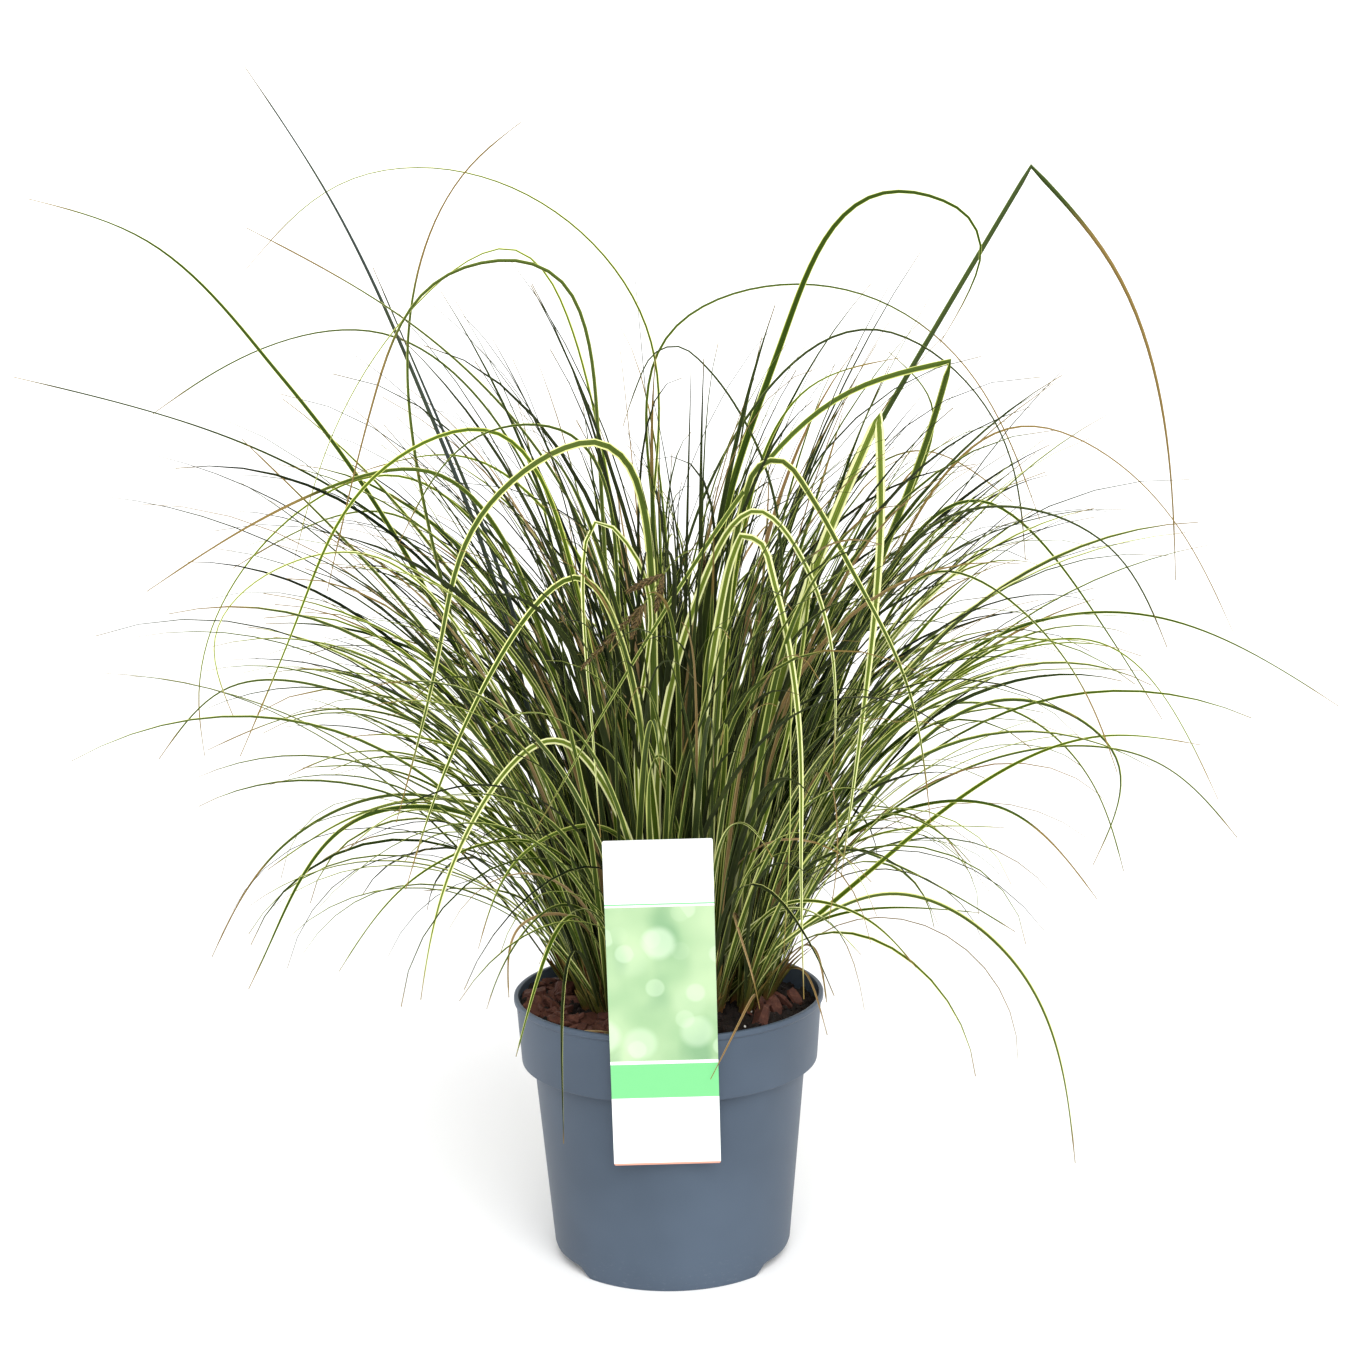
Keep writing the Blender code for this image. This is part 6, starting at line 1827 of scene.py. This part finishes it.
def foot_rib():
    """A straight rib under the floor, sunk into the floor and into both feet."""
    x = RIB_WIDTH / 2 * np.array([-1, 1, 1, -1, -1, 1, 1, -1])
    y = (BODY_FOOT_RADIUS - FOOT_WIDTH / 2) * np.array([-1, -1, 1, 1, -1, -1, 1, 1])
    z = np.repeat([0.0, FLOOR_UNDERSIDE + FLOOR_THICKNESS / 2], 4)
    quads = np.array([(0, 3, 2, 1), (4, 5, 6, 7), (0, 1, 5, 4), (1, 2, 6, 5), (2, 3, 7, 6), (3, 0, 4, 7)])
    return new_mesh("foot_rib", np.column_stack([x, y, z]), quads)


def combine(piece, mesh, operation):
    """Cuts a mesh from a piece or joins it on by one Boolean, then removes it."""
    other = placed(mesh.name, mesh)
    modifier = piece.modifiers.new(mesh.name, "BOOLEAN")
    modifier.operation = operation
    modifier.solver = "MANIFOLD"
    modifier.object = other
    bpy.context.view_layer.update()
    made = bpy.data.meshes.new_from_object(piece.evaluated_get(bpy.context.evaluated_depsgraph_get()))
    piece.modifiers.clear()
    piece.data = made
    bpy.data.objects.remove(other)


def ground(x, y):
    """Height of the finished soil: the solid's surface with lumps of three sizes.

    Each size is a sum of waves that run in seeded directions with seeded phases. Near the rim the
    height is kept under a slope that falls by half the distance.
    """
    chance = np.random.default_rng([SEED, GROUND_DRAWS])
    height = soil_height(x, y)
    radius = np.hypot(x, y)
    for waves, size, tall in GROUND_LUMPS:
        angle = chance.uniform(0, 2 * math.pi, waves)
        phase = chance.uniform(0, 2 * math.pi, waves)
        stretch = chance.uniform(*GROUND_STRETCH, waves) * 2 * math.pi / size
        for a, p, s in zip(angle, phase, stretch):
            wave = np.sin((x * math.cos(a) + y * math.sin(a)) * s + p)
            height = height + GROUND_GAIN * tall / math.sqrt(waves) * wave
    return np.minimum(height, POT_HEIGHT + GROUND_LIMIT - np.maximum(radius - GROUND_EDGE, 0) * 0.5)


class SEDGE_OT_soil(bpy.types.Operator):
    """Adds the soil with its bark chips, crumbs and perlite"""

    bl_idname = "sedge.soil"
    bl_label = "Soil"

    def execute(self, context):
        """The solid's outline below and the lumpy ground on top, then loose bits laid on it."""
        slack = GAP * 1.3
        floor_top = FLOOR_UNDERSIDE + FLOOR_THICKNESS
        ledge = BAND_FOOT_HEIGHT + WALL
        wall_level = SOIL_TOP - SOIL_FALL
        rim = inner_radius(wall_level) - slack
        sides = [
            (POLE_RADIUS, floor_top + slack),
            (body_radius(floor_top) - WALL - slack, floor_top + slack),
            (BODY_TOP_RADIUS - WALL - slack, ledge + slack),
            (BAND_FOOT_RADIUS - WALL - slack, ledge + slack),
        ]
        across = np.linspace(rim, POLE_RADIUS, SOIL_ROWS)
        profile = np.concatenate([sides, np.column_stack([across, np.zeros(SOIL_ROWS)])])

        def lift(x, y, profile, angle):
            """The ground's height for the rows of the top, and nothing for the sides."""
            return np.where(np.arange(len(profile))[:, None] >= len(sides), ground(x, y), 0.0)

        top = float(ground(np.zeros(1), np.zeros(1))[0])
        mesh = new_mesh("potting_soil", *turned(profile, SOIL_SEGMENTS, floor_top + slack, top, lift))
        dark = ((0.25, (0.003, 0.002, 0.002)), (0.5, (0.009, 0.005, 0.003)), (0.75, (0.024, 0.012, 0.008)))
        finish = soil_finish("moist soil", colours().soil, dark)
        add_piece("potting_soil", mesh, [finish], ["soil"], sharp=80)
        self.crumbs()
        self.bark()
        self.perlite()
        return {"FINISHED"}

    def scatter(self, count, chance, reach, wanted=None):
        """Seeded places on the soil, evenly spread, or more of them where wanted says so."""
        radius = reach * np.sqrt(chance.uniform(0, 1, count * 6))
        angle = chance.uniform(0, 2 * math.pi, count * 6)
        x, y = radius * np.cos(angle), radius * np.sin(angle)
        if wanted is not None:
            keep = chance.uniform(0, 1, len(x)) < wanted(x, y)
            x, y = x[keep], y[keep]
        x, y = x[:count], y[:count]
        return np.column_stack([x, y, ground(x, y)])

    def crumbs(self):
        """Small dark lumps of peat, half sunk."""
        chance = np.random.default_rng([SEED, CRUMB_DRAWS])
        base, faces = pebble()
        centres = self.scatter(sizes().crumbs, chance, CRUMB_REACH)
        least, more, power = CRUMB_SIZE
        size = least + more * chance.uniform(0, 1, len(centres)) ** power
        shape = size[:, None] * chance.uniform(0.7, 1.3, (len(centres), 3))
        points = lumps(base, centres + CRUMB_LIFT, shape, chance, CRUMB_ROUGHNESS)
        brown = ((0.3, (0.003, 0.002, 0.002)), (0.5, (0.014, 0.007, 0.004)), (0.7, (0.045, 0.021, 0.012)))
        loose_bits("peat_crumbs", points, faces, soil_finish("peat crumb", colours().soil, brown), 35)

    def bark(self):
        """Chips of bark, heaped on the left, that lie nearly flat."""
        chance = np.random.default_rng([SEED, BARK_DRAWS])
        base, faces = slab()

        def wanted(x, y):
            """The chance that a chip stays: a bell curve round the left, near the rim."""
            from_heap = np.arctan2(y, x) % (2 * math.pi) - BARK_HEAP_ANGLE
            left = np.exp(-((from_heap / BARK_HEAP_SPREAD) ** 2))
            rim = smooth_step((np.hypot(x, y) - 0.045) / 0.02)
            return np.clip(rim * (0.10 + 0.9 * left), 0, 1)

        centres = self.scatter(sizes().chips, chance, BARK_REACH, wanted)
        count = len(centres)
        least, more, power = BARK_SIZE
        long = least + more * chance.uniform(0, 1, count) ** power
        wide = long * chance.uniform(*BARK_WIDTH, count)
        shape = np.stack([long, wide, long * chance.uniform(*BARK_THICKNESS, count)], axis=1)
        turn = chance.uniform(0, 2 * math.pi, count) / 2
        tip = chance.normal(0, BARK_TIP, (count, 2))
        q = unit(np.column_stack([np.cos(turn), tip[:, 0], tip[:, 1], np.sin(turn)]))
        rough = base[None] * (1 + chance.uniform(-BARK_ROUGHNESS, BARK_ROUGHNESS, (count, len(base), 1)))
        points = turned_by(rough * shape[:, None], q) + (centres + BARK_LIFT)[:, None]
        red = ((0.25, (0.016, 0.007, 0.005)), (0.5, (0.080, 0.025, 0.015)), (0.75, (0.210, 0.085, 0.050)))
        loose_bits("bark_chips", points, faces, soil_finish("bark", colours().bark, red, 0.75), 30)

    def perlite(self):
        """A few pale grains."""
        chance = np.random.default_rng([SEED, PERLITE_DRAWS])
        base, faces = pebble()
        centres = self.scatter(sizes().perlite, chance, PERLITE_REACH)
        shape = chance.uniform(*PERLITE_SIZE, (len(centres), 3))
        points = lumps(base, centres + PERLITE_LIFT, shape, chance, PERLITE_ROUGHNESS)
        pale = ((0.3, (0.35, 0.33, 0.29)), (0.7, (0.55, 0.53, 0.49)))
        loose_bits("perlite_grains", points, faces, soil_finish("perlite", (0.75, 0.72, 0.66), pale), 40)


class SEDGE_OT_label(bpy.types.Operator):
    """Adds the label card with its hook over the rim"""

    bl_idname = "sedge.label"
    bl_label = "Label"

    def execute(self, context):
        """A thin card with slightly rounded corners, and a hook as a bent strip of even width."""
        touch, across, up, inward = label_frame()
        corner = CARD_CORNER
        quarter = np.linspace(0, math.pi / 2, CARD_CORNER_STEPS)
        outline = []
        ends = ((1, LABEL_ABOVE_RIM), (-1, LABEL_ABOVE_RIM), (-1, -LABEL_BELOW_RIM), (1, -LABEL_BELOW_RIM))
        for index, (s, t) in enumerate(ends):
            angle = quarter + index * math.pi / 2
            middle = (s * (LABEL_WIDTH / 2 - corner), t - math.copysign(corner, t))
            outline.append(middle + corner * np.column_stack([np.cos(angle), np.sin(angle)]))
        outline = np.concatenate(outline)
        flat = touch + outline[:, :1] * across + outline[:, 1:] * up
        count = len(outline)
        points = np.concatenate([flat, flat - inward * LABEL_THICKNESS])
        i = np.arange(count)
        j = (i + 1) % count
        middle = touch + up * CARD_MIDDLE
        middle = np.array([middle, middle - inward * LABEL_THICKNESS])
        points = np.concatenate([points, middle])
        back = np.stack([j, i, np.full(count, 2 * count)], axis=1)
        front = np.stack([count + i, count + j, np.full(count, 2 * count + 1)], axis=1)
        quads = np.stack([i, j, count + j, count + i], axis=1)
        card = (points, quads, np.concatenate([back, front]))
        points, quads, triangles = joined([card, self.hook(touch, up)])
        slots = np.zeros(len(quads) + len(triangles), int)
        slots[len(quads) + count : len(quads) + 2 * count] = 1
        loops = np.concatenate([quads.ravel(), triangles.ravel()])
        offset = points[loops] - touch
        share = (offset @ up + LABEL_BELOW_RIM) / (LABEL_ABOVE_RIM + LABEL_BELOW_RIM)
        places = np.column_stack([offset @ across / LABEL_WIDTH + 0.5, share])
        mesh = new_mesh("label_card", points, quads, triangles, places, PRINT_MAP, slots)
        add_piece("label_card", mesh, [card_finish(), print_finish()], ["label"], sharp=30)
        return {"FINISHED"}

    def hook(self, touch, up):
        """The hook's side outline, carried across its width."""
        low = POT_HEIGHT + GAP * 2
        high = low + HOOK_THICKNESS
        leg_foot = POT_HEIGHT - HOOK_DROP
        leg = -(inner_radius(leg_foot) - HOOK_WALL_CLEARANCE)
        slope = up[1] / up[2]
        outer = touch[1] + (low - touch[2]) * slope - LABEL_THICKNESS / 2
        upper = touch[1] + (high - touch[2]) * slope - LABEL_THICKNESS / 2
        back = leg + HOOK_THICKNESS
        outline = ((outer, low), (leg, low), (leg, leg_foot), (back, leg_foot), (back, high), (upper, high))
        sides = [LABEL_SHIFT + side * HOOK_WIDTH / 2 for side in (-1, 1)]
        points = np.array([(x, y, z) for x in sides for y, z in outline])
        i = np.arange(6)
        j = (i + 1) % 6
        quads = np.stack([j, i, 6 + i, 6 + j], axis=1)
        ends = [(0, 1, 5), (1, 4, 5), (1, 2, 4), (2, 3, 4)]
        triangles = np.array(ends + [(6 + a, 6 + c, 6 + b) for a, b, c in ends])
        return points, quads, triangles


# Stage


class SEDGE_OT_stage(bpy.types.Operator):
    """Adds the pale floor, the soft light and the camera"""

    bl_idname = "sedge.stage"
    bl_label = "Stage"

    def execute(self, context):
        """A wide floor that sweeps up, an even pale surround, soft light and the photograph's camera."""
        scene = context.scene
        share = np.linspace(0, 1, SWEEP_STEPS)
        sweep = np.column_stack([SWEEP_START + (SWEEP_END - SWEEP_START) * share, SWEEP_HEIGHT * share**2.5])
        upper = np.concatenate([[[FLOOR_MIDDLE, 0.0]], sweep])
        profile = np.concatenate([upper - (0.0, FLOOR_DEPTH), upper[::-1]])
        surface = turned(profile, FLOOR_SIDES, -FLOOR_DEPTH, 0.0)
        floor = placed("floor", new_mesh("floor", *surface))
        floor.data.materials.append(floor_finish())
        world = bpy.data.worlds.new("pale surround")
        world.use_nodes = True
        world.node_tree.nodes["Background"].inputs[0].default_value = (1.0, 1.0, 1.0, 1.0)
        world.node_tree.nodes["Background"].inputs[1].default_value = SURROUND_LIGHT
        scene.world = world
        key = bpy.data.lights.new("key_light", "SUN")
        key.energy = KEY_STRENGTH
        key.angle = KEY_SOFTNESS
        lamp = placed("key_light", key)
        lamp.location = KEY_PLACE
        lamp.rotation_euler = aim_rotation(-np.array(KEY_PLACE))
        camera = bpy.data.cameras.new("camera")
        camera.sensor_fit = "HORIZONTAL"
        camera.sensor_width = CAMERA_SENSOR
        camera.lens = CAMERA_LENS
        camera.clip_end = CAMERA_FAR
        made = placed("camera", camera)
        aim = Matrix.Rotation(math.radians(90) - CAMERA_PITCH, 4, "X")
        made.matrix_world = Matrix.Translation(CAMERA_PLACE) @ aim @ Matrix.Rotation(CAMERA_ROLL, 4, "Z")
        scene.camera = made
        scene.view_settings.view_transform = "Standard"
        return {"FINISHED"}


def aim_rotation(aim):
    """The turn that points a lamp along a direction."""
    tilt = math.atan2(math.hypot(aim[0], aim[1]), -aim[2])
    return (tilt, 0.0, math.atan2(aim[1], aim[0]) - math.pi / 2)


class SEDGE_PT_panel(bpy.types.Panel):
    """Lists the sizes, the colours and the pieces"""

    bl_idname = "SEDGE_PT_panel"
    bl_label = "Potted sedge"
    bl_space_type = "VIEW_3D"
    bl_region_type = "UI"
    bl_category = "Sedge"

    def draw(self, context):
        """Rows for every property, then a button for every operator."""
        for group in (context.scene.sedge_sizes, context.scene.sedge_colours):
            for name in group.__annotations__:
                self.layout.prop(group, name)
        for operator in OPERATORS:
            self.layout.operator(operator.bl_idname)


OPERATORS = (
    SEDGE_OT_stage,
    SEDGE_OT_pot,
    SEDGE_OT_soil,
    SEDGE_OT_label,
    SEDGE_OT_leaves,
    SEDGE_OT_fine_leaves,
    SEDGE_OT_sheaths,
    SEDGE_OT_loose_blades,
    SEDGE_OT_flower_stem,
)
CLASSES = (SedgeSizes, SedgeColours, *OPERATORS, SEDGE_PT_panel)


def register():
    """Registers the classes and the scene's properties."""
    for each in CLASSES:
        bpy.utils.register_class(each)
    bpy.types.Scene.sedge_sizes = bpy.props.PointerProperty(type=SedgeSizes)
    bpy.types.Scene.sedge_colours = bpy.props.PointerProperty(type=SedgeColours)


def unregister():
    """Takes them away again."""
    del bpy.types.Scene.sedge_sizes
    del bpy.types.Scene.sedge_colours
    for each in reversed(CLASSES):
        bpy.utils.unregister_class(each)


def main():
    """Builds every piece."""
    register()
    bpy.ops.sedge.stage()
    bpy.ops.sedge.pot()
    bpy.ops.sedge.soil()
    bpy.ops.sedge.label()
    bpy.ops.sedge.leaves()
    bpy.ops.sedge.fine_leaves()
    bpy.ops.sedge.sheaths()
    bpy.ops.sedge.loose_blades()
    bpy.ops.sedge.flower_stem()


if __name__ == "__main__":
    main()
